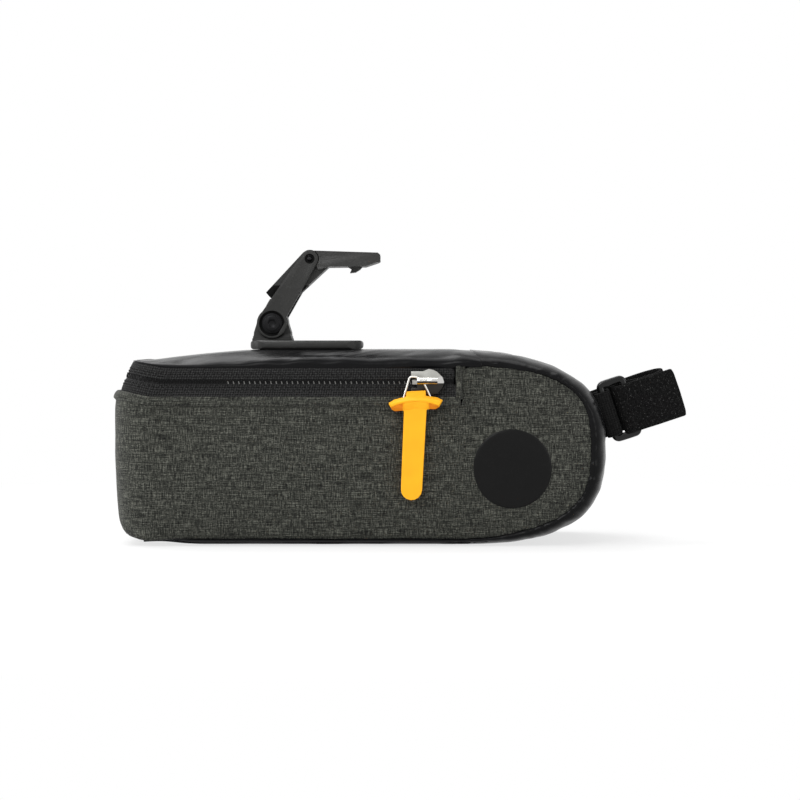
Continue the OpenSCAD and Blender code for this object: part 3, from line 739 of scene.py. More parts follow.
def wrap(s, z):
    """Point on the bag and outward normal for a point of the laid-flat side panel."""
    side, run, back = PANEL_SIDE, PANEL_TURN, PANEL_BACK
    cx, cy = REAR + CORNER_R, HALF - CORNER_R
    if s <= side:
        p, n = Vector((SEAM_NOSE - s, -HALF, z)), Vector((0, -1, 0))
    elif s <= side + run:
        t = (s - side) / CORNER_R
        n = Vector((-math.sin(t), -math.cos(t), 0))
        p = Vector((cx, -cy, z)) + n * CORNER_R
    elif s <= side + run + back:
        p, n = Vector((REAR, -cy + s - side - run, z)), Vector((-1, 0, 0))
    elif s <= side + 2 * run + back:
        t = (s - side - run - back) / CORNER_R
        n = Vector((-math.cos(t), math.sin(t), 0))
        p = Vector((cx, cy, z)) + n * CORNER_R
    else:
        p, n = Vector((cx + s - side - 2 * run - back, HALF, z)), Vector((0, 1, 0))
    limit = heel_x(z)
    if p.x < limit:
        share = (limit - REAR) / HEEL_R
        p.x = limit
        n = (n * (1 - share) + Vector((-0.3, 0, -1)) * share).normalized()
    return p + n * rear_bulge(p.x, z), n


def is_inside(outline, p):
    inside = False
    for a, b in zip(outline, outline[1:] + outline[:1]):
        if (a.y > p.y) != (b.y > p.y) and p.x < (b.x - a.x) * (p.y - a.y) / (b.y - a.y) + a.x:
            inside = not inside
    return inside


def distance_to(outline, p):
    best = 1e9
    for a, b in zip(outline, outline[1:] + outline[:1]):
        d = b - a
        t = max(0.0, min(1.0, (p - a).dot(d) / max(d.length_squared, 1e-9)))
        best = min(best, (a + d * t - p).length)
    return best


def hold_and_inflate(obj, held, pressure, cap):
    """Fills a closed soft shell with air for twenty frames and keeps the shape it takes."""
    group = obj.vertex_groups.new(name="held")
    group.add(held, 1.0, "REPLACE")
    rest = [v.co.copy() for v in obj.data.vertices]
    cloth = obj.modifiers.new("Cloth", "CLOTH")
    s = cloth.settings
    s.quality = 5
    s.mass = 0.15
    s.tension_stiffness = s.compression_stiffness = 18
    s.shear_stiffness = 8
    s.bending_stiffness = 3
    s.use_pressure = True
    s.uniform_pressure_force = pressure
    s.effector_weights.gravity = 0
    s.vertex_group_mass = "held"
    cloth.point_cache.frame_start, cloth.point_cache.frame_end = 1, 20
    for f in range(1, 21):
        bpy.context.scene.frame_set(f)
    graph = bpy.context.evaluated_depsgraph_get()
    moved = [v.co.copy() for v in obj.evaluated_get(graph).data.vertices]
    obj.modifiers.remove(cloth)
    obj.vertex_groups.remove(group)
    most = 0.0
    for v, a, b in zip(obj.data.vertices, rest, moved):
        step = b - a
        most = max(most, step.length)
        if step.length > cap:
            step *= cap / step.length
        v.co = a + step
    bpy.context.scene.frame_set(1)
    print(f"{obj.name}: the air moved it by up to {most * 1000:.2f} mm")


def make_side_panel():
    """Foam-backed melange panel from the near side round the rear to the far side."""
    step, row = PANEL_STEP, PANEL_STEP * 0.87
    outline, total = panel_outline(step)
    count = len(outline)
    inner = []
    for j in range(int(80 / row)):
        for i in range(int(total / step)):
            p = Vector(((i + 0.5 * (j % 2)) * step, SEAM_LOW + (j + 0.5) * row))
            if is_inside(outline, p) and distance_to(outline, p) > step * 0.55:
                inner.append(p)
    loop = [(i, (i + 1) % count) for i in range(count)]
    flat, _, faces, *_ = delaunay_2d_cdt(outline + inner, loop, [], 1, 1e-5)
    bm = bmesh.new()
    uv = bm.loops.layers.uv.new("UVMap")
    made, laid = [], {}
    for p in flat:
        edge = distance_to(outline, p)
        at, n = wrap(p.x, p.y)
        tuck = mix(-1.1, -0.5, smooth_step((-66 - at.x) / 20)) * math.exp(-edge / 1.3)
        swell = 0.32 * ripple(p.x, p.y, 3.0, 30) + 0.16 * ripple(p.x, p.y, 11.0, 12)
        pucker = 0.35 * ripple(p.x, p.y * 0.4, 7.0, 4.2) * math.exp(-edge / 4.0)
        v = bm.verts.new(at + n * (tuck + (swell + pucker) * min(1.0, edge / 3)))
        made.append(v)
        laid[v] = (p.x, p.y, edge)
    bm.verts.ensure_lookup_table()
    for f in faces:
        bm.faces.new([made[i] for i in f])
    for face in bm.faces:
        for loop_ in face.loops:
            s, z, _ = laid[loop_.vert]
            loop_[uv].uv = (s * MM, z * MM)
    bm.normal_update()
    face_out(bm, Vector((-10, 0, 35)))
    bm.normal_update()
    outer = list(bm.faces)
    edges = [laid[v][2] for v in made]
    depth = {v: wrap(laid[v][0], laid[v][1])[1] for v in made}
    twin = bmesh.ops.duplicate(bm, geom=outer + list(bm.edges) + list(bm.verts))
    for old, new in twin["vert_map"].items():
        if old in depth:
            new.co = old.co - depth[old] * FOAM
    copies = [g for g in twin["geom"] if isinstance(g, bmesh.types.BMFace)]
    bmesh.ops.reverse_faces(bm, faces=copies)
    for f in copies:
        f.material_index = 1
    rim = [e for e in bm.edges if e.is_boundary]
    bmesh.ops.bridge_loops(bm, edges=rim)
    bm.verts.index_update()
    held = [v.index for v in bm.verts if v not in depth]
    held += [v.index for v, e in zip(made, edges) if e < 2.0]
    obj = piece(bm, "side_panel_fabric", [MATERIALS["melange"], MATERIALS["lining"]])
    hold_and_inflate(obj, held, AIR, MOST_MOVED)
    subdivide(obj, 1)
    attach(obj, "tub")
    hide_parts("side_panel")
    return obj


# Turn of the rolled edge, from the seam at 0 to the flat crown at 90 degrees
ROLL = [-14, 0, 10, 22, 34, 46, 58, 70, 80, 90]
FLATS = [0.75, 0.5, 0.25, 0.0]


# Rings of the coated band under the heel and round the nose
HEEL_RINGS, NOSE_RINGS = 34, 200


def roll_across(s, c, half, crown):
    """One cross-section of the coated band, from the near seam over to the far seam."""
    near = []
    for deg in ROLL:
        t = math.radians(deg)
        y = -half + (half - crown) * (1 - math.cos(t))
        if deg < 0:
            y += 0.9
        p = s + (c - s) * math.sin(t)
        near.append(Vector((p.x, y, p.y)))
    for share in FLATS:
        near.append(Vector((c.x, -crown * share, c.y)))
    far = [Vector((p.x, -p.y, p.z)) for p in reversed(near[:-1])]
    return near + far


def wrinkled(p, out, size, amount):
    return p + out * amount * ripple(p.x, p.y, p.z, size)


def make_gusset():
    """Coated band that makes the bottom, the nose and the front of the top."""
    rings = []
    for i in range(HEEL_RINGS):
        x = mix(heel_x(HEEL_LOW) + 0.4, NOSE - NOSE_LOW, i / HEEL_RINGS)
        rise = low_edge(x) * (1 - smooth_step((x - REAR - 12) / 22))
        hidden = 1 - smooth_step((x + 86) / 18)
        half = plan_half(x) - 1.6 * hidden
        seam = Vector((min(x, SEAM_NOSE - NOSE_LOW), low_edge(x) + 1.6 * hidden))
        crown = Vector((x, max(0.0, rise) + 0.5 * hidden))
        rings.append(roll_across(seam, crown, half, half - (HALF - CROWN_HALF)))
    for i in range(NOSE_RINGS + 1):
        deg = mix(-90, GUSSET_END, i / NOSE_RINGS)
        rings.append(roll_across(seam_point(deg), crown_point(deg), HALF, CROWN_HALF))
    bm = loft(rings)
    bm.normal_update()
    face_out(bm, Vector((10, 0, 38)))
    bm.normal_update()
    for v in bm.verts:
        low = abs(v.co.z) / 6 + (v.co.x > 30) * 0.4
        free = smooth_step((v.co.x + 70) / 60) * smooth_step(low)
        v.co = wrinkled(v.co, v.normal, 11, 0.5 * free)
        v.co = wrinkled(v.co, v.normal, 4.2, 0.2 * free)
        turn = math.degrees(math.atan2(v.co.z - 39, v.co.x - 40))
        by_seam = math.exp(-max(0.0, HALF - abs(v.co.y)) / 5)
        pucker = noise.noise(Vector((turn / 2.3, 0.0, v.co.y / 14)))
        v.co += v.normal * 0.55 * by_seam * free * pucker
        # The strap's root is sewn in here and draws the band in
        sewn = smooth_step((16 - abs(v.co.y)) / 5) * smooth_step((v.co.x - 80) / 10)
        sewn *= smooth_step((v.co.z - 36) / 8) * (1 - smooth_step((v.co.z - 68) / 8))
        v.co -= v.normal * 2.2 * sewn
        v.co.z = max(0.0, v.co.z)
    return piece(bm, "coated_band", [MATERIALS["coated"], MATERIALS["lining"]], "tub", ["gusset"],
                 levels=1, thickness=2.1)


# Rings of the lid from its sewn edge up to the crown: setback at the rear, half width there,
# corner radius, height, the turn of the rolled edge that each meets at the front, and half
# width further forward, where the edge rolls later
LID_RINGS = [
    (6.8, 36.8, 13.4, 72.4, -12, 36.8), (6.0, 37.6, 14.2, 73.2, -4, 37.6),
    (5.7, 38.0, 14.6, 73.8, 2, 38.0), (5.9, 37.8, 14.5, 74.4, 8, 38.2),
    (7.0, 36.9, 14.0, 75.1, 16, 38.2), (9.8, 35.5, 13.4, 75.9, 26, 38.0),
    (15, 33.7, 12.6, 76.8, 36, 37.4), (22, 31.6, 11.6, 77.8, 47, 36.2),
    (32, 29.2, 10.2, 79.0, 58, 33.4), (43, 26.8, 8.6, 80.0, 69, 29.2),
    (54, 24.4, 7.0, 80.9, 80, 24.8), (64, 20.0, 6.0, 80.98, 90, 20.0),
    (78, 10.0, 4.0, 81.0, 90, 10.0), (92, 0.0, 0.0, 81.0, 90, 0.0)]


def make_lid_cover():
    """Coated top panel; its front follows the rolled edge of the coated band in front of the zip."""
    rings = []
    sides = 56
    s_end, c_end = seam_point(GUSSET_END), crown_point(GUSSET_END)
    for back, half, r, z, deg, later in LID_RINGS:
        turn = math.radians(deg)
        ring = []
        points, _ = plan_ring(REAR + back, half, r, 0, sides=sides)
        x_end = mix(s_end.x, c_end.x, math.sin(turn)) + 2.5
        count = len(points)
        for k, p in enumerate(points):
            from_front = min(k, count - 1 - k)
            x = p.x if from_front > sides else mix(x_end, REAR + back + r, from_front / sides)
            w = smooth_step((x - 34) / 8)
            roll_y = HALF - (HALF - CROWN_HALF) * (1 - math.cos(turn))
            if r < 8 and deg == 90:
                roll_y = half * CROWN_HALF / 20.0
            front_half = roll_y + 0.1
            front_z = mix(seam_high(x), crown_high(x), math.sin(turn))
            front_z -= 0.15 * smooth_step((x - 40) / 3)
            y = p.y
            if half:
                y *= mix(1, later / half, smooth_step((x + 72) / 45))
            if w > 0:
                y = math.copysign(mix(abs(y), front_half, w), p.y) if half else 0.0
            lift = rear_lift(x, ZIP_TOP) * (1 - smooth_step((z - ZIP_TOP) / 3.6))
            ring.append(Vector((x, y, mix(z + lift, front_z, w))))
        rings.append(ring)
    bm = loft(rings)
    bmesh.ops.remove_doubles(bm, verts=bm.verts, dist=0.02)
    bm.normal_update()
    face_out(bm, Vector((-20, 0, 30)))
    bm.normal_update()
    for v in bm.verts:
        side = smooth_step((abs(v.co.y) - 24) / 8)
        under_clip = -52 < v.co.x < 6 and abs(v.co.y) < 25
        free = 0.0 if under_clip else smooth_step((v.co.z - 74.6) / 1.5)
        v.co = wrinkled(v.co, v.normal, 13, 0.5 * free * (0.35 + side))
        v.co = wrinkled(v.co, v.normal, 4.5, 0.32 * free * side)
        v.co.z = min(v.co.z, TOP)
    obj = piece(bm, "lid_cover", [MATERIALS["coated"], MATERIALS["lining"]], None, ["lid_panel"],
                levels=2, thickness=1.6)
    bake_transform(obj)
    return obj


def along_band(profile, front, lifted=None, extra=None):
    """Closed bar with a profile of (outward, height) along the zip's path round the bag."""
    paths = [zip_ring(z, front) for _, z in profile]
    rings = []
    for k in range(len(paths[0][0])):
        ring = []
        for (out, z), (points, normals) in zip(profile, paths):
            p = points[k] + normals[k] * out
            q = Vector((p.x, p.y, z + rear_lift(p.x, lifted or z)))
            if extra:
                q += extra(q, normals[k])
            ring.append(q)
        rings.append(ring)
    return loft(rings, closed=True, caps=True)


def sweep_band(profile, front, name, materials, body, nodes, levels=1, extra=None):
    """Fabric band with its threads across the zip's path."""
    bm = along_band(profile, front, extra=extra)
    uv = bm.loops.layers.uv["UVMap"]
    for face in bm.faces:
        for loop in face.loops:
            loop[uv].uv = (loop[uv].uv.y, loop[uv].uv.x)
    return piece(bm, name, materials, body, nodes, levels=levels)


def make_lip():
    """Turned edge of the side panel, along the zip."""
    profile = [(-1.6, 56.6), (-0.8, 57.9), (-0.05, 58.15), (0.42, 58.7), (0.6, 59.6), (0.55, 60.5),
               (0.34, 61.2), (-0.05, 61.65), (-0.7, 61.6), (-1.5, 60.8), (-2.2, 59.2), (-2.4, 57.0)]

    def waves(p, n):
        d = 0.2 * ripple(p.x, p.y, p.z * 0.3, 7.5) + 0.1 * ripple(p.x, p.y, p.z, 3.1)
        d += 0.7 * rear_bulge(p.x, LIP_SEAM)
        return Vector((n.x * d, n.y * d, 0.22 * ripple(p.x, p.y, 9.0, 15)))

    return sweep_band(profile, HINGE_X - 0.4, "zip_lip", [MATERIALS["melange"]], "tub",
                      ["side_binding"], levels=2, extra=waves)


def make_tapes():
    """Both halves of the zip's woven tape."""
    low = [(-0.3, 60.6), (-0.1, 61.6), (0.1, 63.2), (0.12, 65.2), (0.02, 66.2), (-0.25, 66.75),
           (-0.9, 66.7), (-0.9, 60.8)]
    high = [(-0.9, 68.6), (-0.3, 68.45), (0.0, 68.9), (0.1, 69.9), (0.12, 71.6), (0.06, 72.8),
            (-0.15, 73.8), (-0.8, 73.9)]

    def weave_rows(p, n):
        d = 0.06 * ripple(p.x, p.y, p.z, 5.0)
        return Vector((n.x * d, n.y * d, 0))

    sweep_band(low, TAB_X + 1.6, "zip_tape_low", [MATERIALS["tape"]], "tub", ["zip_tape_lower"],
               levels=1, extra=weave_rows)
    sweep_band(high, TAB_X + 0.4, "zip_tape_high", [MATERIALS["tape"]], "lid", ["zip_tape_upper"],
               levels=1, extra=weave_rows)


def along_zip(z, front, pitch, start=0.0):
    """Points and normals every pitch along the zip, from the near front round to the far one."""
    points, normals = zip_ring(z, front, sides=160, corner=60, back=30)
    total, next_at = 0.0, start
    for (a, na), (b, nb) in zip(zip(points, normals), zip(points[1:], normals[1:])):
        length = (b - a).length
        while length and next_at <= total + length:
            t = (next_at - total) / length
            yield a.lerp(b, t), na.lerp(nb, t).normalized()
            next_at += pitch
        total += length


def joined(parts):
    """One bmesh from several."""
    whole = bmesh.new()
    for part in parts:
        mesh = bpy.data.meshes.new("part")
        part.to_mesh(mesh)
        part.free()
        whole.from_mesh(mesh)
        bpy.data.meshes.remove(mesh)
    return whole


def make_coil(name, body, node, side, pitch):
    """One half of the coil: small upright teeth before a dark core."""
    teeth = bmesh.new()
    front = TAB_X - 0.4
    length, stand = (1.2, -0.08) if side < 0 else (0.9, -0.35)
    middle = COIL_Z + (0.15 if side < 0 else 1.2)
    for p, n in along_zip(COIL_Z, front, pitch, 0.4 if side < 0 else 0.4 + pitch / 2):
        made = bmesh.ops.create_cone(teeth, cap_ends=True, cap_tris=False, segments=8, radius1=0.24,
                                     radius2=0.15, depth=length)["verts"]
        p = p + n * stand
        turn = Matrix.Rotation(math.atan2(n.y, n.x), 4, "Z")
        turn @= Matrix.Rotation(math.radians(14), 4, "X")
        place = Matrix.Translation((p.x, p.y, middle + rear_lift(p.x, COIL_Z)))
        bmesh.ops.transform(teeth, matrix=place @ turn, verts=made)
    core = [(-1.2, COIL_Z + side * 0.05), (-0.6, COIL_Z + side * 0.05), (-0.5, COIL_Z + side * 0.8),
            (-0.5, COIL_Z + side * 1.9), (-1.2, COIL_Z + side * 1.9)]
    bm = joined([teeth, along_band(core, front, lifted=COIL_Z)])
    bmesh.ops.recalc_face_normals(bm, faces=bm.faces)
    # Small teeth faces between TEETH_LIT_FROM and the bar take the pale teeth colour of the lower
    # half, a painted highlight; the rest stays dark
    for f in bm.faces:
        c = f.calc_center_median()
        f.material_index = 0 if f.calc_area() < 0.4 and TEETH_LIT_FROM < c.x < BAR_FROM else 1
    return piece(bm, name, [MATERIALS["teeth" if side < 0 else "coil"], MATERIALS["coil"]], body,
                 [node], sharp=50)


def make_stitching(length):
    """Two sewn rows on each tape, beside the teeth."""
    for body, name, rows in (("tub", "zip_stitching_low", (65.6, 64.4)),
                             ("lid", "zip_stitching_high", (69.7, 70.9))):
        bm = bmesh.new()
        for row, z in enumerate(rows):
            for k, (p, n) in enumerate(along_zip(z, TAB_X - 0.6, length * 1.5, 0.5 + row * 0.7)):
                made = bmesh.ops.create_icosphere(bm, subdivisions=1, radius=1.0)["verts"]
                out = Vector((n.x, n.y, 0))
                along = out.cross(Vector((0, 0, 1)))
                slant = (along + Vector((0, 0, 0.5 if k % 2 else -0.5))).normalized()
                turn = Matrix((slant, out.cross(slant), out)).transposed().to_4x4()
                at = Vector((p.x, p.y, z + rear_lift(p.x, z))) + out * 0.15
                size = Matrix.Diagonal((length / 2, 0.19, 0.16, 1))
                bmesh.ops.transform(bm, matrix=Matrix.Translation(at) @ turn @ size, verts=made)
        piece(bm, name, [MATERIALS["thread"]], body)


def make_end_tabs():
    """Small fabric tabs over both ends of the zip."""
    parts = []
    for side in (-1, 1):
        rings = []
        for i in range(13):
            z = mix(60.4, 74.6, i / 12)
            wave = 0.1 * ripple(0.0, side * 5.0, z, 4.0)
            out = side * (HALF + 0.15 + wave)
            back = side * (HALF - 2.4)
            x0, x1 = TAB_X + 0.3 + wave, HINGE_X - 0.35
            rings.append([Vector(p) for p in (
                (x0, back, z), (x0 - 0.05, out - side * 0.4, z), (x0 + 0.35, out, z),
                (x1 - 0.4, out, z), (x1, out - side * 0.4, z), (x1 + 0.1, side * (HALF - 1.5), z),
                (x1 + 1.9, side * (HALF - 1.7), z), (x1 + 1.9, back, z))])
        parts.append(loft(rings, closed=True, caps=True))
    return piece(joined(parts), "zip_end_tab_fabric", [MATERIALS["melange"]], "tub",
                 ["zip_end_tabs"], levels=1)


def make_disc():
    """Round rubber patch with a soft edge; its face is left bare."""
    bm = bmesh.new()
    r, middle = 16.5, Vector((62.5, -HALF, 32.2))
    profile = [(0, 1.5), (4, 1.47), (9, 1.32), (13.2, 1.1), (14.6, 1.0), (15.4, 0.93),
               (16.1, 0.74), (16.45, 0.38), (r, 0.0), (r - 0.2, -0.5)]
    verts = [bm.verts.new((x, -y, 0)) for x, y in profile]
    edges = [bm.edges.new(p) for p in zip(verts, verts[1:])]
    bmesh.ops.spin(bm, geom=verts + edges, cent=(0, 0, 0), axis=(0, 1, 0), angle=math.tau,
                   steps=72, use_merge=True)
    bmesh.ops.remove_doubles(bm, verts=bm.verts, dist=0.01)
    bmesh.ops.translate(bm, vec=middle, verts=bm.verts)
    bm.normal_update()
    face_out(bm, middle + Vector((0, 6, 0)))
    return piece(bm, "round_patch", [MATERIALS["disc"]], "tub", ["disc_patch"],
                 levels=1)


# ------------------------------------------------------------------ strap


STRAP_TURN = Matrix.Translation((109.5, 0, 56.3)) @ Matrix.Rotation(math.radians(-18), 4, "Y")
LOOP_L, STRAP_L, RING_Y = 22.4, 26.8, -3.2
# The near run of the strap lies a little lower than the far one
DROP = 0.17
STRAP_PATH = [
    (-10.2, 0.8), (-7.6, 1.0), (-4, 2), (0, 3.2), (6, 4.6), (12, 5.3), (LOOP_L - 5.6, 5),
    (LOOP_L - 1.8, 3.6), (LOOP_L, 0.9), (LOOP_L - 0.8, -2), (LOOP_L - 3.6, -3.9), (12.6, -4.2),
    (9.2, -2), (6.6, -0.6), (4.6, -0.4), (2.4, -0.7), (0.8, -1.7), (0, -3.3), (0.8, -5.1),
    (2.6, -5.9), (5, -6), (9, -5.9), (12.6, -6.1), (LOOP_L - 3.4, -5.9), (STRAP_L, -5.6)]
TAB_PATH = [
    (-10.2, -0.8), (-7.6, -0.9), (-6.4, -1), (-4.8, -0.8), (-3.2, -1), (-2.2, -1.8), (-2, -3.2),
    (-2.4, -4.6), (-3.6, -5.3), (-5.4, -5.4), (-7.2, -5.1), (-8.2, -4.2)]


def curve_through(points, steps):
    """Smooth run of points through chosen ones."""
    pts = [Vector(p) for p in points]
    out = []
    for i in range(len(pts) - 1):
        a, b, c, d = pts[max(i - 1, 0)], pts[i], pts[i + 1], pts[min(i + 2, len(pts) - 1)]
        for k in range(steps):
            t = k / steps
            out.append(b + (c - a) * (t / 2) + (2 * a - 5 * b + 4 * c - d) * (t * t / 2)
                       + (3 * b - a - 3 * c + d) * (t ** 3 / 2))
    out.append(pts[-1])
    return out


def ribbon(path, width, thick, edge=0.35, steps=4):
    """Flat webbing along a path of (along, across), with rounded edges."""
    line = curve_through(path, steps)
    h, w = thick / 2, width / 2
    section = [(h * 0.7, -w), (h, -w + edge), (h, -w / 2), (h, 0), (h, w / 2), (h, w - edge),
               (h * 0.7, w), (-h * 0.7, w), (-h, w - edge), (-h, w / 2), (-h, 0), (-h, -w / 2),
               (-h, -w + edge), (-h * 0.7, -w)]
    rings = []
    for i, p in enumerate(line):
        d = (line[min(i + 1, len(line) - 1)] - line[max(i - 1, 0)]).normalized()
        n = Vector((-d.y, d.x))
        ring = []
        for off, z in section:
            q = p + n * off
            soft = 0.12 * ripple(q.x, q.y, z, 6.0)
            ring.append(STRAP_TURN @ Vector((q.x, q.y + soft, z + DROP * q.y - 0.55)))
        rings.append(ring)
    return loft(rings, closed=True, caps=True)


def make_strap():
    """Hook-and-loop strap and the short webbing that holds its ring."""
    bm = ribbon(STRAP_PATH, 20.9, 1.5)
    piece(bm, "strap_webbing", [MATERIALS["webbing"]], "strap", ["seatpost_strap"],
          levels=1)
    bm = ribbon(TAB_PATH, 19.6, 1.1)
    piece(bm, "ring_webbing", [MATERIALS["band"]], "strap", ["ring_tab"], levels=1)
    bm = ribbon([(-15.6, 0), (-13, 0), (-11, 0.0), (-9.6, 0)], 20, 2.6, 0.6)
    piece(bm, "strap_root", [MATERIALS["band"]], "tub", ["strap_anchor"], levels=1)


def make_ring():
    """Glossy plastic loop with round bars."""
    length, width, bar, thick = 10.0, 23.8, 3.3, 2.6
    corners = [(length / 2, width / 2), (-length / 2, width / 2), (-length / 2, -width / 2),
               (length / 2, -width / 2)]
    centre_line = []
    r = 1.6
    for i, (x, z) in enumerate(corners):
        cx, cz = x - math.copysign(r, x), z - math.copysign(r, z)
        for k in range(7):
            t = math.radians(90 * i + 15 * k)
            centre_line.append((Vector((cx + r * math.cos(t), cz + r * math.sin(t))),
                                Vector((math.cos(t), math.sin(t)))))
    rings = []
    for p, n in centre_line + centre_line[:1]:
        ring = []
        for k in range(16):
            t = math.tau * k / 16
            out = math.copysign(abs(math.cos(t)) ** 0.75, math.cos(t)) * bar / 2
            up = math.copysign(abs(math.sin(t)) ** 0.75, math.sin(t)) * thick / 2
            q = p + n * out
            ring.append(STRAP_TURN @ Vector((q.x, RING_Y + up, q.y - 0.6)))
        rings.append(ring)
    bm = loft(rings, closed=True)
    bmesh.ops.remove_doubles(bm, verts=bm.verts, dist=0.01)
    bmesh.ops.recalc_face_normals(bm, faces=bm.faces)
    return piece(bm, "ring_loop", [MATERIALS["ring"]], "strap", ["strap_ring"],
                 levels=1)


# ------------------------------------------------------------------ hardware


BAIL = Vector((23.7, -42.4, 68.1))
# The bar of the slider, and how far below its middle the slider's front is painted dark as shade
BAR_R, BAR_FROM, BAR_TO, BAR_SKIRT = 1.45, 23.4, 31.75, 0.9
WIRE_R = 0.42
PULL_MIDDLE = 22.9
# The teeth are painted pale from here to the front, a painted highlight where light catches them;
# further back they stay dark
TEETH_LIT_FROM = -56.0
# Straight cuts that point the slider's nose, each by two points in X and Z
SLIDER_CUTS = (((28.27, 73.6), (31.54, 71.9)), ((31.54, 71.9), (34.3, 69.2)),
               ((34.7, 66.6), (31.0, 62.3)))
# Centre line of the bail's wire in X and Z: over the window, behind the bar and down
BAIL_WIRE = [
    (-6.2, -9.4), (-5.8, -6.8), (-4.5, -2.4), (-3.6, 0.7), (-3.1, 1.55), (-2.1, 1.7), (-0.6, 1.55),
    (0.7, 0.9), (2.0, -0.3), (3.0, -1.9), (4.3, -4.6), (5.5, -7.4), (6.0, -9.2)]


# Pivots of the clamp in X and Z with the radius of the recess round each, the depth that the
# recesses start at, and the height that the lever's tail is in the dark below
PIVOTS = ((-37.7, 91.9, 5.5), (-21.757, 119.183, 2.7))
RECESS_FROM = 10.45
TAIL_DARK = 108.0


def in_recess(c):
    return abs(c.y) < RECESS_FROM and any(math.hypot(c.x - x, c.z - z) < r for x, z, r in PIVOTS)


def make_clamp():
    nylon, black, steel = MATERIALS["nylon"], MATERIALS["black_steel"], MATERIALS["steel"]
    dressed("clip_base", nylon, 0.5, 3, 32)
    # The arm's recesses and the lever's tail below TAIL_DARK get painted shade
    dressed("clip_arm", nylon, 0.38, 3, 32, dark=in_recess)
    dressed("clip_lever", MATERIALS["lever"], 0.65, 4, 28,
            dark=lambda c: c.z < TAIL_DARK, split=TAIL_DARK)
    dressed("hinge_screw", black, 0.2, 2, 40)
    dressed("hinge_washer", black, 0.12, 2, 40)
    dressed("hinge_nut", steel, 0.15, 2, 40)
    dressed("lever_pin", black, 0.1, 1, 60)
    dressed("clip_screws", steel, 0.12, 2, 40)
    for node in ("bottom_board", "lid_board"):
        dressed(node, MATERIALS["board"], 0.4, 2, 40)


def make_slider():
    """Cast slider with a polished bar."""
    bm = solid_of("slider_body")
    for (x0, z0), (x1, z1) in SLIDER_CUTS:
        cut = cut_by(bm, (x0, 0, z0), (z0 - z1, 0, x1 - x0), clear=True)
        rim = [e for e in cut if isinstance(e, bmesh.types.BMEdge)]
        bmesh.ops.holes_fill(bm, edges=rim, sides=0)
    round_edges(bm, 0.16, 2, 35)
    cut_by(bm, (0, 0, BAIL.z - BAR_SKIRT), (0, 0, 1))
    made = bmesh.ops.create_cone(bm, cap_ends=True, cap_tris=False, segments=32, radius1=BAR_R,
                                 radius2=BAR_R, depth=BAR_TO - BAR_FROM)["verts"]
    place = Matrix.Translation(((BAR_FROM + BAR_TO) / 2, BAIL.y, BAIL.z))
    bmesh.ops.transform(bm, matrix=place @ Matrix.Rotation(math.pi / 2, 4, "Y"), verts=made)
    caps = [e for e in {e for v in made for e in v.link_edges} if e.calc_face_angle(0) > 1]
    bmesh.ops.bevel(bm, geom=caps, offset=0.25, offset_type="OFFSET", segments=3, profile=0.5,
                    affect="EDGES", material=-1)
    # Dark zinc on the bar's lower front band is a painted reflection, and on the slider's front
    # below the bar a painted shade
    for f in bm.faces:
        c = f.calc_center_median()
        if c.x > BAR_FROM - 0.1 and math.hypot(c.y - BAIL.y, c.z - BAIL.z) < BAR_R + 0.05:
            f.material_index = 1 if f.normal.z > -0.08 or f.normal.z < -0.62 else 2
        elif f.normal.y < -0.6 and c.z < BAIL.z - BAR_SKIRT and c.x > BAR_FROM - 0.5:
            f.material_index = 2
    box_uv(bm)
    piece(bm, "slider_casting", [MATERIALS["cast"], MATERIALS["bar"], MATERIALS["zinc_shade"]], "slider",
          ["slider_body"], sharp=35)


def make_bail():
    """Wire that holds the pull on the slider's bar."""
    wire = [BAIL + Vector((x, 0, z)) for x, z in curve_through(BAIL_WIRE, 6)]
    rings = []
    for i, p in enumerate(wire):
        d = (wire[min(i + 1, len(wire) - 1)] - wire[max(i - 1, 0)]).normalized()
        side = d.cross(Vector((0, 1, 0)))
        rings.append([p + (side * math.cos(t) + Vector((0, 1, 0)) * math.sin(t)) * WIRE_R
                      for t in (math.tau * k / 10 for k in range(10))])
    piece(loft(rings, closed=True, caps=True), "bail_wire", [MATERIALS["bright"]], "pull",
          ["pull_wire"])


def make_pull():
    """Rubber pull with a lip below its wings; its face is left bare."""
    bm = solid_of("pull_tab")
    for v in bm.verts:
        v.co.z += 0.1 * (v.co.x - PULL_MIDDLE) * smooth_step((v.co.z - 50) / 5) - 0.3
        v.co.x -= 0.5
    pull = piece(bm, "pull_rubber_tab", [MATERIALS["rubber"]])
    skin = pull.modifiers.new("Skin", "REMESH")
    skin.mode = "VOXEL"
    skin.voxel_size = 0.00022
    skin.use_smooth_shade = True
    soft = pull.modifiers.new("Soft edges", "SMOOTH")
    soft.factor = 0.5
    soft.iterations = 7
    graph = bpy.context.evaluated_depsgraph_get()
    mesh = bpy.data.meshes.new_from_object(pull.evaluated_get(graph))
    pull.modifiers.clear()
    pull.data = mesh
    mesh.materials.append(MATERIALS["pull_shade"])
    mid_y = sum(v.co.y for v in mesh.vertices) / len(mesh.vertices)
    below = set()
    for v in mesh.vertices:
        x, z = v.co.x / MM, v.co.z / MM
        if v.co.y > mid_y or z < 54:
            continue
        above = z - (60.0 - 0.0245 * (x - 23.0) ** 2)
        lip = smooth_step((above + 0.25) / 0.5) * (1 - smooth_step((above - 0.4) / 3.4))
        under = 1 - smooth_step((above + 0.25) / 0.5)
        under *= smooth_step((abs(x - PULL_MIDDLE) - 4.6) / 1.2)
        v.co.y += (1.1 * under - 0.85 * lip) * MM
        if under > 0.5:
            below.add(v.index)
    # Faces under the lip take the deeper orange, a painted shade under the wings
    for polygon in mesh.polygons:
        polygon.material_index = int(all(i in below for i in polygon.vertices))
    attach(pull, "pull")
    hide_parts("pull_tab")


# ------------------------------------------------------------------ studio


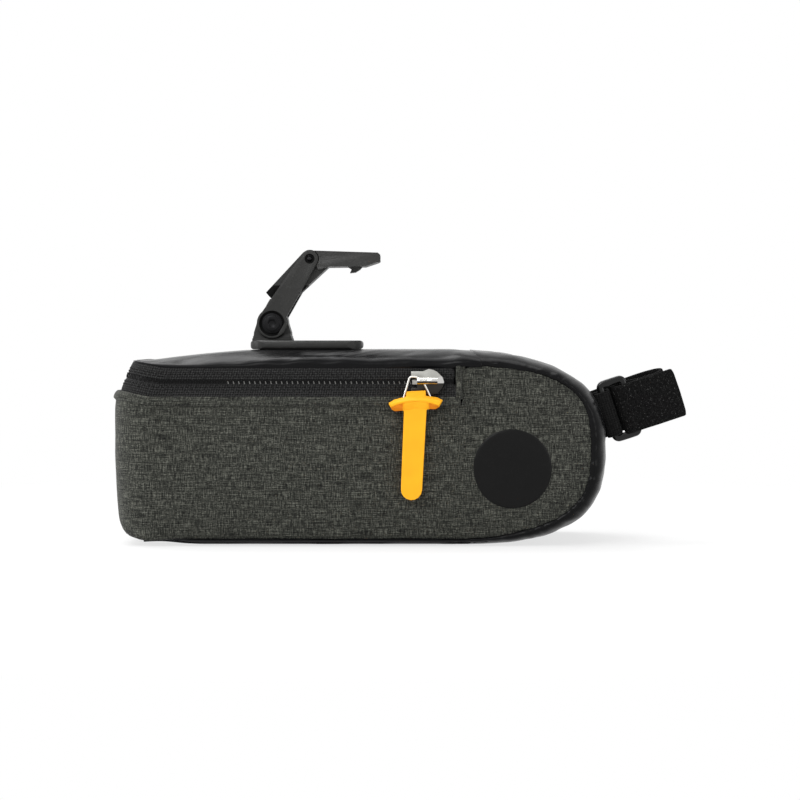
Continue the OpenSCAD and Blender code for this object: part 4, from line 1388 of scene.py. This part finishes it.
# Area lights: place, target, width and height in metres, and power
CENTRE = (0.0, 0.0, 0.05)
LIGHTS = {
    "Key": ((-0.45, -0.85, 0.75), CENTRE, (0.7, 0.5), 6.8),
    "Fill": ((0.8, -0.7, 0.35), CENTRE, (0.6, 0.6), 2.4),
    "Top": ((0.0, 0.1, 1.0), CENTRE, (0.9, 0.6), 5.0),
    "Rim": ((-1.0, -0.15, 0.3), CENTRE, (0.4, 0.6), 4.5),
    "Back left": ((-0.45, 0.55, 1.0), (-0.06, 0.0, 0.08), (0.7, 0.9), 9.0),
}
CAMERA_AT, CAMERA_DOWN, LENS = (0.0164, -1.004, 0.0849), 1.462, 105.8


def area(name, place, target, size, power):
    light = bpy.data.lights.new(name, "AREA")
    light.shape = "RECTANGLE"
    light.size, light.size_y = size
    light.energy = power
    obj = bpy.data.objects.new(name, light)
    obj.location = place
    obj.rotation_mode = "QUATERNION"
    obj.rotation_quaternion = (Vector(target) - Vector(place)).to_track_quat("-Z", "Y")
    bpy.context.scene.collection.objects.link(obj)


def seen_plainly(n):
    """One for camera, gloss and glass rays, and none for diffuse light."""
    path = n.add("ShaderNodeLightPath")
    shiny = n.math("MAXIMUM", path.outputs["Is Glossy Ray"], path.outputs["Is Transmission Ray"])
    return n.math("MAXIMUM", path.outputs["Is Camera Ray"], shiny)


def white_to_camera(n, shader, share):
    """Shows plain white to camera, gloss and glass rays over a share of the shader."""
    glow = n.add("ShaderNodeEmission")
    glow.inputs["Color"].default_value = (1, 1, 1, 1)
    glow.inputs["Strength"].default_value = 1.0
    both = n.add("ShaderNodeMixShader")
    n.join(n.math("MULTIPLY", seen_plainly(n), share), both.inputs[0])
    n.join(shader, both.inputs[1])
    n.join(glow.outputs[0], both.inputs[2])
    return both.outputs[0]


def make_stage():
    scene = bpy.context.scene
    bm = bmesh.new()
    bmesh.ops.create_grid(bm, x_segments=2, y_segments=2, size=3.0)
    mesh = bpy.data.meshes.new("studio_floor")
    bm.to_mesh(mesh)
    bm.free()
    floor = bpy.data.objects.new("studio_floor", mesh)
    scene.collection.objects.link(floor)
    m, n, shader = start_material("Studio floor", linear(236, 236, 236), 0.9)
    out = next(x for x in n.tree.nodes if x.bl_idname == "ShaderNodeOutputMaterial")
    away = n.add("ShaderNodeVectorMath", operation="LENGTH")
    n.join(coordinates(n, "Object"), away.inputs[0])
    share = n.ramp(away.outputs["Value"], [(0.12, (0.72, 0.72, 0.72)), (0.42, (1, 1, 1))])
    n.join(white_to_camera(n, shader.outputs[0], share), out.inputs["Surface"])
    mesh.materials.append(m)

    world = bpy.data.worlds.new("Studio")
    scene.world = world
    world.use_nodes = True
    n = Nodes(world.node_tree)
    n.tree.nodes.clear()
    out = n.add("ShaderNodeOutputWorld")
    back = n.add("ShaderNodeBackground")
    back.inputs["Color"].default_value = (1, 1, 1, 1)
    # The sky lights the bag at a third of the white that it shows
    n.join(n.math("ADD", n.math("MULTIPLY", seen_plainly(n), 0.67), 0.33), back.inputs["Strength"])
    n.join(back.outputs[0], out.inputs["Surface"])

    for name, values in LIGHTS.items():
        area(name, *values)

    view = bpy.data.cameras.new("Camera")
    view.sensor_width = 36
    view.lens = LENS
    camera = bpy.data.objects.new("Camera", view)
    camera.location = CAMERA_AT
    camera.rotation_euler = (math.radians(90 - CAMERA_DOWN), 0, 0)
    scene.collection.objects.link(camera)
    scene.camera = camera
    scene.view_settings.view_transform = "Standard"


# ------------------------------------------------------------------ add-on


class BagStudio(bpy.types.PropertyGroup):
    pull_colour: bpy.props.FloatVectorProperty(
        name="Pull colour", description="Colour of the rubber zip pull", subtype="COLOR", size=3,
        default=linear(250, 175, 28)[:3], min=0, max=1)
    tooth_pitch: bpy.props.FloatProperty(
        name="Tooth pitch", description="Distance from one zip tooth to the next",
        default=0.0022, min=0.001, max=0.004, unit="LENGTH")
    stitch_length: bpy.props.FloatProperty(
        name="Stitch length", description="Length of a stitch on the zip's tape",
        default=0.0013, min=0.0008, max=0.003, unit="LENGTH")


class BAG_OT_materials(bpy.types.Operator):
    """Make the finishes of the bag"""
    bl_idname = "bag.materials"
    bl_label = "Make finishes"

    def execute(self, context):
        make_materials(context.scene.bag)
        return {"FINISHED"}


class BAG_OT_shell(bpy.types.Operator):
    """Make the sewn shell: side panel, coated band and lid"""
    bl_idname = "bag.shell"
    bl_label = "Make shell"

    def execute(self, context):
        make_side_panel()
        make_gusset()
        make_lid_cover()
        make_lip()
        make_end_tabs()
        make_disc()
        return {"FINISHED"}


class BAG_OT_zip(bpy.types.Operator):
    """Make the zip: tapes, coil, slider and pull"""
    bl_idname = "bag.zip"
    bl_label = "Make zip"

    def execute(self, context):
        bag = context.scene.bag
        make_tapes()
        make_coil("zip_teeth_low", "tub", "zip_coil_lower", -1, bag.tooth_pitch / MM)
        make_coil("zip_teeth_high", "lid", "zip_coil_upper", 1, bag.tooth_pitch / MM)
        make_stitching(bag.stitch_length / MM)
        make_slider()
        make_bail()
        make_pull()
        return {"FINISHED"}


class BAG_OT_clamp(bpy.types.Operator):
    """Make the quick clamp and the boards"""
    bl_idname = "bag.clamp"
    bl_label = "Make clamp"

    def execute(self, context):
        make_clamp()
        return {"FINISHED"}


class BAG_OT_strap(bpy.types.Operator):
    """Make the strap and its ring"""
    bl_idname = "bag.strap"
    bl_label = "Make strap"

    def execute(self, context):
        make_strap()
        make_ring()
        return {"FINISHED"}


class BAG_OT_stage(bpy.types.Operator):
    """Make the floor, the lights and the camera"""
    bl_idname = "bag.stage"
    bl_label = "Make stage"

    def execute(self, context):
        make_stage()
        return {"FINISHED"}


class BAG_PT_panel(bpy.types.Panel):
    """Lists the steps that build the bag"""
    bl_idname = "BAG_PT_panel"
    bl_label = "Saddle bag"
    bl_space_type = "VIEW_3D"
    bl_region_type = "UI"
    bl_category = "Bag"

    def draw(self, context):
        for step in STEPS:
            self.layout.operator(step)


STEPS = ("bag.materials", "bag.shell", "bag.zip", "bag.clamp", "bag.strap", "bag.stage")
CLASSES = (BagStudio, BAG_OT_materials, BAG_OT_shell, BAG_OT_zip, BAG_OT_clamp, BAG_OT_strap,
           BAG_OT_stage, BAG_PT_panel)


def register():
    for cls in CLASSES:
        bpy.utils.register_class(cls)
    bpy.types.Scene.bag = bpy.props.PointerProperty(type=BagStudio)


def unregister():
    del bpy.types.Scene.bag
    for cls in reversed(CLASSES):
        bpy.utils.unregister_class(cls)


def main():
    register()
    for step in STEPS:
        group, name = step.split(".")
        getattr(getattr(bpy.ops, group), name)()


if __name__ == "__main__":
    main()
